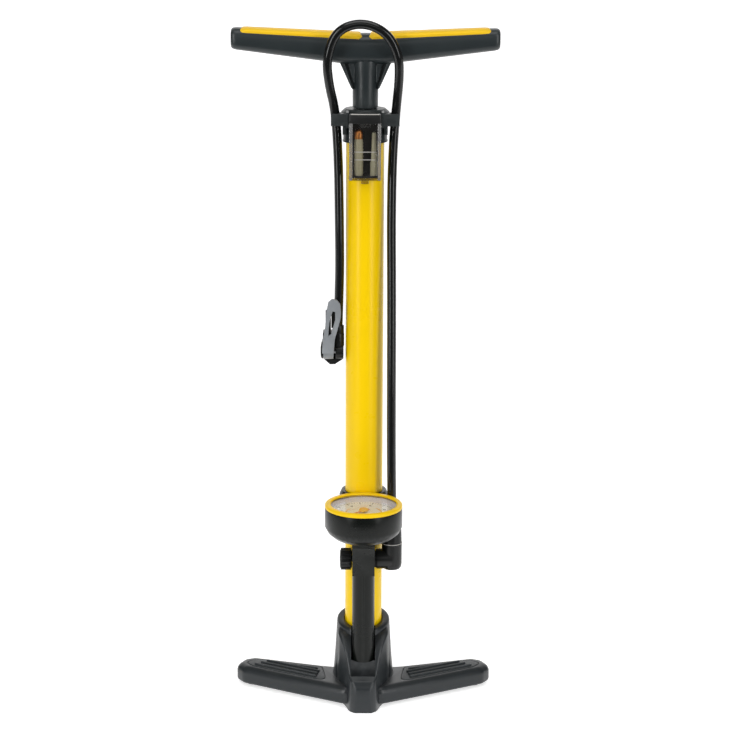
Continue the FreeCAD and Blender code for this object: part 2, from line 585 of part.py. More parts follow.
def make_cap():
    shell = turned([("rod_bore + 2", "cap_ledge"), ("rod_bore + 2", "cap_top"),
                    ("cap_rad - 3.5", "cap_top"), ("cap_rad", "cap_top - 3"), ("cap_rad", "clip_low"),
                    ("cap_skirt_rad", "clip_low - 2"), ("cap_skirt_rad", "cap_skirt_foot + 2"),
                    ("cap_skirt_rad + 0.5", "cap_skirt_foot + 1.4"),
                    ("cap_skirt_rad + 0.5", "cap_skirt_foot"),
                    ("socket_rad", "cap_skirt_foot"), ("socket_rad", "barrel_head + seat_gap"),
                    ("bush_rad + seat_gap", "barrel_head + seat_gap"),
                    ("bush_rad + seat_gap", "cap_ledge")])
    arm = block(("12", "clip_y - hose_d / 2 - clip_wall", "clip_low"),
                ("clip_edge", "clip_y + hose_d / 2 + clip_wall", "clip_high"))
    cheek = block(("box_half + 0.4", "hinge_y - 4", "clip_low"), ("cheek_edge", "-10", "cap_top - 0.8"))
    tooth = block(("cap_skirt_rad - 3", "clip_y - 5", "clip_low - 8"),
                  ("cap_skirt_rad + 0.4", "clip_y + 4", "clip_low"))
    hole = cylinder("hose_d / 2 + clip_gap", "cap_top", ("clip_x", "clip_y", "clip_low - 40"))
    front = block(("-box_half - 0.4", "-40", "clip_low - 30"),
                  ("box_half + 0.4", "tray_back", "cap_top + 5"))
    inside = cylinder("socket_rad", "barrel_head + seat_gap - cap_skirt_foot + 20",
                      ("0", "0", "cap_skirt_foot - 20"))
    part("barrel_cap", cut(joined(shell, arm, mirrored(arm), cheek, mirrored(cheek), tooth,
                                  mirrored(tooth)),
                           hole, mirrored(hole), front, inside))
    part("rod_bush", turned([("rod_bore", "bush_foot - 6"), ("bush_rad", "bush_foot - 6"),
                             ("bush_rad", "cap_ledge - 0.1"), ("rod_bore", "cap_ledge - 0.1")]))
    part("wiper_seal", turned([("rod_bore + 0.04", "cap_ledge + 0.2"),
                               ("rod_bore + 1.9", "cap_ledge + 0.2"),
                               ("rod_bore + 1.9", "cap_top - 2"), ("rod_bore + 1.2", "cap_top - 2"),
                               ("rod_bore + 0.04", "cap_top - 1.2")]))


def make_adapter_box():
    back = block(("-tray_half", "tray_back - tray_thick", "box_low + 2"),
                 ("tray_half", "tray_back", "hinge_z - 4"))
    shelf = block(("-tray_half", "box_front + 2", "box_low + 2"),
                  ("tray_half", "tray_back", "box_low + 4"))
    lug = block(("8.5", "hinge_y", "hinge_z - 6"), ("tray_half", "tray_back", "hinge_z"))
    eye = cylinder("2.1", "tray_half - 8.5", ("8.5", "hinge_y", "hinge_z"), ALONG_X)
    bore = cylinder("hinge_rad + 0.01", "past", ("-past / 2", "hinge_y", "hinge_z"), ALONG_X)
    pegs = [cylinder("1.2", "6", (across, "adapter_y", "box_low + 4")) for across in ("needle_x", "cone_x")]
    part("adapter_tray", cut(joined(back, shelf, lug, mirrored(lug), eye, mirrored(eye), *pegs), bore))
    outer = block(("-box_half", "box_front", "box_low"), ("box_half", "cover_back", "box_high"))
    inner = block(("-box_half + box_wall", "box_front + box_wall", "box_low + box_wall"),
                  ("box_half - box_wall", "0", "box_high - box_wall"))
    top = block(("-box_half + box_wall", "hinge_y - 0.8", "hinge_z"),
                ("box_half - box_wall", "0", "box_high + 1"))
    tab = block(("-3.5", "box_front", "box_low - 3"), ("3.5", "box_front + 3", "box_low"))
    part("adapter_cover", cut(joined(outer, tab), inner, top,
                              cylinder("hinge_rad + seat_gap", "past",
                                       ("-past / 2", "hinge_y", "hinge_z"), ALONG_X)))
    part("cover_pin", cylinder("hinge_rad", "2 * box_half", ("-box_half", "hinge_y", "hinge_z"), ALONG_X))
    part("needle_adapter", turned([("1.25", "box_low + 4.1"), ("3.8", "box_low + 4.1"),
                                   ("3.8", "box_low + 36"),
                                   ("3.3", "box_low + 37"), ("3.3", "box_low + 43"),
                                   ("1.2", "box_low + 45"),
                                   ("0", "box_low + 45"), ("0", "box_low + 12"), ("1.25", "box_low + 12")],
                                  ("needle_x", "adapter_y", "0")))
    part("cone_adapter", turned([("1.25", "box_low + 4.1"), ("3.3", "box_low + 4.1"), ("3.3", "box_low + 16"),
                                 ("2.6", "box_low + 17"), ("1.7", "box_low + 42.5"),
                                 ("0", "box_low + 42.5"),
                                 ("0", "box_low + 12"), ("1.25", "box_low + 12")],
                                ("cone_x", "adapter_y", "0")))


# rod, piston and handle --------------------------------------------------------------------------

def make_plunger():
    part("piston_rod", turned([("0", "rod_foot"), ("3", "rod_foot"), ("3", "piston_top"),
                               ("rod_rad", "piston_top"),
                               ("rod_rad", "rod_top"), ("3", "rod_top"), ("3", "rod_top - 24"),
                               ("0", "rod_top - 24")]))
    part("piston", turned([("3", "piston_foot + 3"), ("piston_core", "piston_foot + 3"),
                           ("piston_core", "piston_foot + 6"), ("piston_rad", "piston_foot + 6"),
                           ("piston_rad", "piston_foot + 8"), ("piston_rad - 2", "piston_foot + 8"),
                           ("piston_rad - 2", "piston_foot + 11"), ("piston_rad", "piston_foot + 11"),
                           ("piston_rad", "piston_top"), ("3", "piston_top")]))
    part("piston_cup", turned([("bore_rad - cup_lip - 3", "piston_foot + 3"),
                               ("bore_rad - cup_lip", "piston_foot + 1"),
                               ("bore_rad - cup_lip", "piston_foot + 5.8"),
                               ("piston_core", "piston_foot + 5.8"),
                               ("piston_core", "piston_foot + 3")]))
    part("piston_ring", ring("piston_rad - 1.0", "1.0", ("0", "0", "piston_foot + 9.5")))
    part("piston_washer", turned([("3", "piston_foot + 1.4"), ("8", "piston_foot + 1.4"),
                                  ("8", "piston_foot + 3"),
                                  ("3", "piston_foot + 3")]))
    part("rod_bumper", turned([("rod_rad", "piston_top"), ("12", "piston_top"), ("12", "piston_top + 5"),
                               ("10.5", "piston_top + 6.5"), ("rod_rad", "piston_top + 6.5")]))


def beam_section(body, place, low, high, deep):
    """An eight-sided section of the handle's beam, at a distance along X."""
    sketch = sketch_on(body, "YZ_Plane", place)
    rise = f"(({high}) - ({low})) * 0.26"
    outline(sketch, [(f"-({deep}) * 0.28", low), (f"({deep}) * 0.28", low),
                     (f"({deep}) / 2", f"({low}) + {rise}"),
                     (f"({deep}) / 2", f"({high}) - {rise}"), (f"({deep}) * 0.3", high),
                     (f"-({deep}) * 0.3", high),
                     (f"-({deep}) / 2", f"({high}) - {rise}"), (f"-({deep}) / 2", f"({low}) + {rise}")])
    return sketch


def make_handle():
    beam = doc.addObject("PartDesign::Body", "beam")
    ends = ("handle_end_low", "handle_end_high", "handle_end_deep")
    middle = ("handle_mid_low", "handle_mid_high", "handle_mid_deep")
    sections = [beam_section(beam, "-handle_half", *ends), beam_section(beam, "-handle_mid_half", *middle),
                beam_section(beam, "handle_mid_half", *middle), beam_section(beam, "handle_half", *ends)]
    loft = beam.newObject("PartDesign::AdditiveLoft", "loft")
    loft.Profile = sections[0]
    loft.Sections = sections[1:]
    loft.Ruled = True
    beam.Tip = loft
    put(beam)
    stem = turned([("0", "stem_foot"), ("stem_rad - 1", "stem_foot"), ("stem_rad", "stem_foot + 1"),
                   ("stem_rad + 0.6", "handle_mid_low + 2"), ("0", "handle_mid_low + 2")])
    web = slab("XZ_Plane", both([("stem_rad - 2", "handle_mid_low - 21"),
                                 ("gusset_half", "handle_mid_low - 3"),
                                 ("gusset_half", "handle_mid_low + 2")]), "-gusset_thick / 2",
               "gusset_thick / 2")
    rod_hole = cylinder("rod_bore", "rod_top - stem_foot + 1.3", ("0", "0", "stem_foot - 1"))
    bolt_hole = cylinder("3.3", "40", ("0", "0", "rod_top - 2"))
    sink = cylinder("7", "40", ("0", "0", "rod_top + 5"))
    grip = slab("XZ_Plane", [("grip_in", "handle_mid_high - grip_thick"),
                             ("grip_out", "handle_end_high - grip_thick - 0.4"),
                             ("grip_out", "handle_end_high + grip_crown - 0.4"),
                             ("grip_in", "handle_mid_high + 0.4")], "-grip_deep / 2", "grip_deep / 2")
    eased(grip, "Fillet", "2.5", lambda a, b: abs(a.x - b.x) > 50 and min(a.z,
                                                                          b.z) > value_of("handle_mid_high"))
    seat = block(("-8", "-8", "rod_top + 5"), ("8", "8", "handle_end_high + 10"))
    grip_cut = cut(grip, seat)
    part("handle", cut(joined(beam, stem, web), rod_hole, bolt_hole, sink, grip_cut, mirrored(grip_cut)))
    part("grip_right", grip_cut)
    part("grip_left", mirrored(grip_cut))
    part("handle_bolt", turned([("0", "rod_top - 20"), ("2.95", "rod_top - 20"), ("2.95", "rod_top + 5.1"),
                                ("5.5", "rod_top + 5.1"), ("5.5", "rod_top + 9"), ("0", "rod_top + 9")]))
    part("handle_plug", turned([("0", "rod_top + 9.2"), ("6.9", "rod_top + 9.2"),
                                ("6.9", "handle_mid_high - 1.2"), ("5.7", "handle_mid_high"),
                                ("0", "handle_mid_high")]))


# chuck -------------------------------------------------------------------------------------------

def make_chuck():
    main = block(("chuck_left", "lever_pin_y", "chuck_low"),
                 ("chuck_x + chuck_half", "chuck_back", "chuck_top"))
    corner = slab("XZ_Plane", [("chuck_x - 13", "chuck_low - 1"), ("chuck_x - 1", "chuck_low - 1"),
                               ("chuck_x - 13", "chuck_low + 10")], "-40", "40")
    corner_two = slab("XZ_Plane", [("chuck_x + 1", "chuck_low - 1"), ("chuck_x + 13", "chuck_low - 1"),
                                   ("chuck_x + 13", "chuck_low + 7")], "-40", "40")
    ears = cylinder("lever_hub - 0.2", "2 * chuck_half", ("chuck_left", "lever_pin_y", "lever_pin_z"),
                    ALONG_X)
    slot = cylinder("lever_hub + free_gap", "11.6", ("chuck_x - 8.3", "lever_pin_y", "lever_pin_z"),
                    ALONG_X)
    inlet = cylinder("inlet_rad", "inlet_top - 8 - chuck_low - 18",
                     ("inlet_x", "inlet_y", "chuck_low + 18"))
    throat = block(("inlet_x - 4.5", "lever_pin_y", "chuck_top - 8"), ("inlet_x + 4.5", "6", "chuck_top"))
    port = cylinder("port_rad", "port_long", ("chuck_x", "chuck_back - 0.01", "port_z"), ALONG_Y)
    bore = cylinder("valve_bore + 1.6", "40", ("chuck_x", "6", "port_z"), ALONG_Y)
    duct = cylinder("2", "14", ("inlet_x", "inlet_y + 3", "chuck_top - 14"))
    pin_hole = cylinder("lever_pin_rad + 0.01", "past",
                        ("chuck_x - past / 2", "lever_pin_y", "lever_pin_z"), ALONG_X)
    part("chuck_body", cut(joined(main, ears, inlet, throat, port), corner, corner_two, slot, bore, duct,
                           pin_hole))
    part("chuck_gland", turned([("valve_bore", "6"), ("valve_bore + 1.5", "6"),
                                ("valve_bore + 1.5", "port_end - 2"),
                                ("valve_bore", "port_end - 2")], ("chuck_x", "0", "port_z"), ALONG_Y))
    part("chuck_ring", turned([("valve_bore + 0.3", "port_end"), ("port_rad", "port_end"),
                               ("port_rad", "port_end + 1.6"),
                               ("port_rad - 1", "port_end + 2.4"),
                               ("valve_bore + 0.3", "port_end + 2.4")],
                              ("chuck_x", "0", "port_z"), ALONG_Y))
    part("lever_pin", cylinder("lever_pin_rad", "2 * chuck_half",
                               ("chuck_left", "lever_pin_y", "lever_pin_z"), ALONG_X))
    part("chuck_ferrule", turned([("2", "inlet_top - 8"), ("ferrule_rad", "inlet_top - 8"),
                                  ("ferrule_rad", "inlet_top - 1"),
                                  ("ferrule_rad - 0.7", "inlet_top - 0.2"), ("2", "inlet_top - 0.2")],
                                 ("inlet_x", "inlet_y", "0")))
    hub = cylinder("lever_hub", "11", ("chuck_x - 8", "lever_pin_y", "lever_pin_z"), ALONG_X)
    blade = slab("XZ_Plane", [("chuck_x - 9.2", "lever_pin_z + 0.6"),
                              ("chuck_x + 3.6", "lever_pin_z + 0.6"),
                              ("chuck_x + 4.4", "lever_pin_z + 10"), ("chuck_x + 7.4", "lever_pin_z + 22"),
                              ("chuck_x + 9.6", "lever_pin_z + 36"), ("chuck_x + 8.6", "lever_pin_z + 46"),
                              ("chuck_x + 4.6", "lever_pin_z + lever_reach - 1"),
                              ("chuck_x", "lever_pin_z + lever_reach"),
                              ("chuck_x - 3.4", "lever_pin_z + lever_reach - 3"),
                              ("chuck_x - 5.2", "lever_pin_z + 40"), ("chuck_x - 6.4", "lever_pin_z + 24"),
                              ("chuck_x - 8.6", "lever_pin_z + 12")], "-plate_y + 0.3",
                 "lever_thick - plate_y + 0.3")
    slot = slab("XZ_Plane", [("chuck_x - 3.4", "lever_pin_z + 17"), ("chuck_x - 0.6", "lever_pin_z + 19"),
                             ("chuck_x + 3", "lever_pin_z + 32"), ("chuck_x + 3", "lever_pin_z + 40"),
                             ("chuck_x + 0.6", "lever_pin_z + 40.5"),
                             ("chuck_x - 2.4", "lever_pin_z + 30")],
                "-plate_y - 3", "lever_thick - plate_y + 3")
    web = block(("chuck_x - 8", "plate_y - 0.4", "lever_pin_z + 0.6"),
                ("chuck_x + 3", "lever_pin_y", "lever_pin_z + 4"))
    eye = cylinder("lever_pin_rad + seat_gap", "past",
                   ("chuck_x - past / 2", "lever_pin_y", "lever_pin_z"), ALONG_X)
    part("chuck_lever", cut(joined(hub, blade, web), slot, eye))


# hose --------------------------------------------------------------------------------------------

# The hose's route from the elbow's ferrule, up beside the barrel, through the right clip, over the
# handle's front in a loop, down through the left clip and into the chuck. Each point gives its side,
# how far out and how far ahead of the barrel's wall it lies, and its height over the floor or the head.
RIGHT = 1
LEFT = -1
HOSE_ROUTE = [
    (RIGHT, 9.1, 5, "floor", 186), (RIGHT, 8.1, 5.2, "floor", 232), (RIGHT, 7.7, 4, "floor", 318),
    (RIGHT, 7.4, 0, "floor", 398), (RIGHT, 6.6, -4.9, "head", -84), (RIGHT, 7.4, -8.3, "head", -28),
    (RIGHT, 10.4, -8.1, "head", 14), (RIGHT, 13.1, 0.7, "head", 42), (RIGHT, 12.1, 9.1, "head", 64),
    (RIGHT, 1, 10.1, "head", 83.5), (LEFT, -13.9, 10.3, "head", 92.2),
    (LEFT, 8.7, 10, "head", 84.5), (LEFT, 17.5, 8.9, "head", 60), (LEFT, 15.1, 0.1, "head", 35),
    (LEFT, 9.5, -8.1, "head", 11.5), (LEFT, 6.7, -8.5, "head", -32), (LEFT, 5.8, -8.7, "head", -90),
    (LEFT, 5.4, -11.2, "floor", 420), (LEFT, 6.1, -14.1, "floor", 391),
    (LEFT, 6.9, -15, "floor", 364)]


def hose_route():
    """The route's points for the present barrel."""
    wall = value_of("barrel_rad")
    datum = {"floor": 0, "head": value_of("barrel_head")}
    return [Vector(side * (wall + out), -wall - ahead, datum[level] + up)
            for side, out, ahead, level, up in HOSE_ROUTE]


def tangent_path(points):
    """Straight runs joined by tangent arcs, each arc as large as its two runs allow."""
    edges = []
    start = points[0]
    for before, corner, after in zip(points, points[1:], points[2:]):
        arrive = corner - before
        leave = after - corner
        half_turn = arrive.getAngle(leave) / 2
        back = 0.45 * min(arrive.Length, leave.Length)
        radius = back / math.tan(half_turn)
        print(f"hose turn {math.degrees(2 * half_turn):5.1f} deg, radius {radius:7.1f} mm")
        enter = corner - arrive.normalize() * back
        leave.normalize()
        exit_spot = corner + leave * back
        inward = ((enter + exit_spot) * 0.5 - corner).normalize()
        middle = corner + inward * (math.hypot(radius, back) - radius)
        edges.append(Part.LineSegment(start, enter).toShape())
        edges.append(Part.Arc(enter, middle, exit_spot).toShape())
        start = exit_spot
    edges.append(Part.LineSegment(start, points[-1]).toShape())
    return Part.Wire(edges)


def make_hose():
    points = hose_route()
    path = tangent_path(points)
    radius = value_of("hose_d / 2")
    section = Part.Wire(Part.makeCircle(radius, points[0], points[1] - points[0]))
    hose = doc.addObject("Part::Feature", "hose")
    hose.Shape = path.makePipeShell([section], True, False)
    hose.Placement = Placement()
    expected = math.pi * radius ** 2 * path.Length
    print(f"hose length {path.Length:.1f} mm, volume {hose.Shape.Volume:.0f}")
    print(f"section x length {expected:.0f}")
    part("hose", hose)


for make in (make_base, make_treads, make_rubber_feet, make_barrel, make_gauge_stand, make_knob, make_elbow,
             make_clamp, make_gauge, make_movement, make_cap, make_adapter_box, make_plunger, make_handle,
             make_chuck, make_hose):
    make()

doc.recompute()
faults = []
for thing in doc.Objects:
    if "Invalid" in thing.State or "Error" in thing.State:
        faults.append(f"{thing.Name} ({thing.Label}): {thing.State}")
for label, thing in PARTS.items():
    if thing.Shape.isNull() or not thing.Shape.isValid():
        faults.append(f"{label}: bad shape")
if faults:
    raise RuntimeError("\n".join(faults))
os.makedirs("parts", exist_ok=True)
for label, thing in PARTS.items():
    thing.Shape.exportStep(f"parts/{label}.step")
    box = thing.Shape.BoundBox
    low = (box.XMin, box.YMin, box.ZMin)
    high = (box.XMax, box.YMax, box.ZMax)
    span = "  ".join(f"{start:7.1f} {end:7.1f}" for start, end in zip(low, high))
    print(f"{label:16s} solids {len(thing.Shape.Solids)} volume {thing.Shape.Volume:9.0f}  {span}")
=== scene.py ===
"""Looks of the floor bike pump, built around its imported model. Metres; the barrel's axis is Z."""
import json
import math

import bmesh
import bpy
from mathutils import Matrix, Vector


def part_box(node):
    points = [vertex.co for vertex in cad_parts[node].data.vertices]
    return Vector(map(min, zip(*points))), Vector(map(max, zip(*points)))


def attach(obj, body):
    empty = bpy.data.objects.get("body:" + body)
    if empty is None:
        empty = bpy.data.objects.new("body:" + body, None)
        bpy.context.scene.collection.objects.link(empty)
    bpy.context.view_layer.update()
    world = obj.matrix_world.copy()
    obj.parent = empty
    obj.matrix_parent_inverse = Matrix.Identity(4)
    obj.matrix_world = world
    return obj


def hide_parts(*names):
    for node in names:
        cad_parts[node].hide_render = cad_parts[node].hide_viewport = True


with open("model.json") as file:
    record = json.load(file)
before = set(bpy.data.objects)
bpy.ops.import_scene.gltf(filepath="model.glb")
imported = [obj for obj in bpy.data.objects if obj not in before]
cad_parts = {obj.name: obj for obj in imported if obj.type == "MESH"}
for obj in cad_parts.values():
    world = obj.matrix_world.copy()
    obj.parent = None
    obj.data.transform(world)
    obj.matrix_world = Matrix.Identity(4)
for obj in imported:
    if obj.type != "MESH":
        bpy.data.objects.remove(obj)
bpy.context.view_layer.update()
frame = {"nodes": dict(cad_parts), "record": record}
MM = 0.001
NODES = frame["nodes"]
BODY = {node: body for body, names in frame["record"]["behaviour"]["bodies"].items() for node in names}
SLOT = {row["node"]: row["material_slot"] for row in frame["record"]["subparts"]}

CLOUD_SCALE = 35.0
EDGE_START = 0.52
EDGE_FULL = 0.62
EDGE_BREAKUP = 220.0
DUST_PATCH = 60.0
DUST_COLOUR = (168, 164, 156)
GRAIN_DEPTH = 0.0002
COAT_ROUGH = 0.06
CLEAR_IOR = 1.49
SCRATCH_SCALE = 260.0


# shader node groups ------------------------------------------------------------------------------

def new_group(name, inputs, outputs):
    """A shader node group with named sockets, and its input and output nodes."""
    tree = bpy.data.node_groups.new(name, "ShaderNodeTree")
    for label, kind, default in inputs:
        socket = tree.interface.new_socket(label, in_out="INPUT", socket_type=kind)
        socket.default_value = default
    for label, kind in outputs:
        tree.interface.new_socket(label, in_out="OUTPUT", socket_type=kind)
    return tree, tree.nodes.new("NodeGroupInput"), tree.nodes.new("NodeGroupOutput")


def math_node(tree, operation, first, second=None, clamp=False):
    """A math node on sockets or plain numbers, and its result."""
    node = tree.nodes.new("ShaderNodeMath")
    node.operation = operation
    node.use_clamp = clamp
    for index, source in enumerate((first, second)):
        if source is None:
            continue
        if isinstance(source, (int, float)):
            node.inputs[index].default_value = source
        else:
            tree.links.new(source, node.inputs[index])
    return node.outputs[0]


def noise(tree, vector, scale, detail=3.0):
    """A noise value over a vector."""
    node = tree.nodes.new("ShaderNodeTexNoise")
    node.inputs["Scale"].default_value = scale
    node.inputs["Detail"].default_value = detail
    node.inputs["Roughness"].default_value = 0.55
    tree.links.new(vector, node.inputs["Vector"])
    return node.outputs["Fac"]


def grain_group():
    """Moulded grain: a fine height, and a slow mask that clouds the colour and the gloss."""
    tree, entry, out = new_group("moulded_grain", [("Fineness", "NodeSocketFloat", 900.0)],
                                 [("Height", "NodeSocketFloat"), ("Cloud", "NodeSocketFloat")])
    place = tree.nodes.new("ShaderNodeTexCoord").outputs["Object"]
    fine = tree.nodes.new("ShaderNodeTexNoise")
    tree.links.new(place, fine.inputs["Vector"])
    tree.links.new(entry.outputs["Fineness"], fine.inputs["Scale"])
    fine.inputs["Detail"].default_value = 4.0
    fine.inputs["Roughness"].default_value = 0.6
    tree.links.new(fine.outputs["Fac"], out.inputs["Height"])
    tree.links.new(noise(tree, place, CLOUD_SCALE, 4.0), out.inputs["Cloud"])
    return tree


def edge_wear_and_highlight_group():
    """Rubbed edges and painted edge highlights: a mask along convex edges, broken up by noise."""
    tree, entry, out = new_group("rubbed_and_highlit_edges", [("Amount", "NodeSocketFloat", 0.5)],
                                 [("Mask", "NodeSocketFloat")])
    place = tree.nodes.new("ShaderNodeTexCoord").outputs["Object"]
    pointed = tree.nodes.new("ShaderNodeNewGeometry").outputs["Pointiness"]
    ramp = tree.nodes.new("ShaderNodeMapRange")
    ramp.inputs["From Min"].default_value = EDGE_START
    ramp.inputs["From Max"].default_value = EDGE_FULL
    tree.links.new(pointed, ramp.inputs["Value"])
    broken = math_node(tree, "MULTIPLY", ramp.outputs[0], noise(tree, place, EDGE_BREAKUP), True)
    tree.links.new(math_node(tree, "MULTIPLY", broken, entry.outputs["Amount"], True), out.inputs["Mask"])
    return tree


def dust_group():
    """Fine dust on surfaces that face up, in soft patches."""
    tree, entry, out = new_group("settled_dust", [("Amount", "NodeSocketFloat", 0.2)],
                                 [("Mask", "NodeSocketFloat")])
    place = tree.nodes.new("ShaderNodeTexCoord").outputs["Object"]
    normal = tree.nodes.new("ShaderNodeNewGeometry").outputs["Normal"]
    split = tree.nodes.new("ShaderNodeSeparateXYZ")
    tree.links.new(normal, split.inputs[0])
    facing = math_node(tree, "POWER", math_node(tree, "MAXIMUM", split.outputs["Z"], 0.0), 2.0)
    patch = math_node(tree, "MULTIPLY", facing, noise(tree, place, DUST_PATCH), True)
    tree.links.new(math_node(tree, "MULTIPLY", patch, entry.outputs["Amount"], True), out.inputs["Mask"])
    return tree


GRAIN = grain_group()
# lightens convex edges: partly rubbed wear, partly painted highlight
EDGE_WEAR_AND_HIGHLIGHT = edge_wear_and_highlight_group()
DUST = dust_group()


def srgb(red, green, blue):
    """A colour given as 0 to 255 steps, as the shader's linear values."""
    steps = [channel / 255 for channel in (red, green, blue)]
    return tuple(((s + 0.055) / 1.055) ** 2.4 if s > 0.04045 else s / 12.92 for s in steps) + (1.0,)


def placed(tree, group, **values):
    """A node group in a material, with its inputs set."""
    node = tree.nodes.new("ShaderNodeGroup")
    node.node_tree = group
    for label, number in values.items():
        node.inputs[label].default_value = number
    return node


def mixed(tree, mask, first, second):
    """Mix two colours, each a tuple or a socket, by a mask."""
    node = tree.nodes.new("ShaderNodeMix")
    node.data_type = "RGBA"
    tree.links.new(mask, node.inputs[0])
    for socket, source in ((node.inputs[6], first), (node.inputs[7], second)):
        if isinstance(source, tuple):
            socket.default_value = source
        else:
            tree.links.new(source, socket)
    return node.outputs[2]


def finish(name, colour, rough, grain=900.0, bump=0.15, cloud=0.18, edge_wear_and_highlight=0.25, dust=0.05, metal=0.0,
           coat=0.0, spread=0.12, shine=0.34):
    """A moulded, painted or rubber finish: clouded colour, convex edges lightened as rubbed wear and painted
    highlight, dust, grain in the bump.
    """
    material = bpy.data.materials.new(name)
    material.use_nodes = True
    tree = material.node_tree
    shader = tree.nodes["Principled BSDF"]
    grained = placed(tree, GRAIN, Fineness=grain)
    wear_and_highlight_mask = placed(tree, EDGE_WEAR_AND_HIGHLIGHT, Amount=edge_wear_and_highlight)
    dusty = placed(tree, DUST, Amount=dust)
    base = srgb(*colour)
    darker = tuple(c * (1 - cloud) for c in base[:3]) + (1.0,)
    # painted highlight and wear: the lighter colour laid along convex edges
    wear_and_highlight_colour = tuple(min(1.0, c * 1.25 + 0.05) for c in base[:3]) + (1.0,)
    shade = mixed(tree, grained.outputs["Cloud"], darker, base)
    shade = mixed(tree, wear_and_highlight_mask.outputs["Mask"], shade, wear_and_highlight_colour)
    shade = mixed(tree, dusty.outputs["Mask"], shade, srgb(*DUST_COLOUR))
    tree.links.new(shade, shader.inputs["Base Color"])
    gloss = tree.nodes.new("ShaderNodeMapRange")
    gloss.inputs["To Min"].default_value = max(0.02, rough - spread / 2)
    gloss.inputs["To Max"].default_value = rough + spread / 2
    tree.links.new(grained.outputs["Cloud"], gloss.inputs["Value"])
    tree.links.new(gloss.outputs[0], shader.inputs["Roughness"])
    relief = tree.nodes.new("ShaderNodeBump")
    relief.inputs["Strength"].default_value = bump
    relief.inputs["Distance"].default_value = GRAIN_DEPTH
    tree.links.new(grained.outputs["Height"], relief.inputs["Height"])
    tree.links.new(relief.outputs["Normal"], shader.inputs["Normal"])
    shader.inputs["Metallic"].default_value = metal
    shader.inputs["Coat Weight"].default_value = coat
    shader.inputs["Coat Roughness"].default_value = COAT_ROUGH
    shader.inputs["Specular IOR Level"].default_value = shine
    return material


def clear_finish(name, colour, rough, alpha=1.0, transmission=1.0):
    """Clear or smoked plastic with faint scratches."""
    material = bpy.data.materials.new(name)
    material.use_nodes = True
    tree = material.node_tree
    shader = tree.nodes["Principled BSDF"]
    shader.inputs["Base Color"].default_value = srgb(*colour)
    shader.inputs["Transmission Weight"].default_value = transmission
    shader.inputs["IOR"].default_value = CLEAR_IOR
    shader.inputs["Alpha"].default_value = alpha
    grained = placed(tree, GRAIN, Fineness=SCRATCH_SCALE)
    gloss = tree.nodes.new("ShaderNodeMapRange")
    gloss.inputs["To Min"].default_value = rough
    gloss.inputs["To Max"].default_value = rough + 0.05
    tree.links.new(grained.outputs["Cloud"], gloss.inputs["Value"])
    tree.links.new(gloss.outputs[0], shader.inputs["Roughness"])
    return material


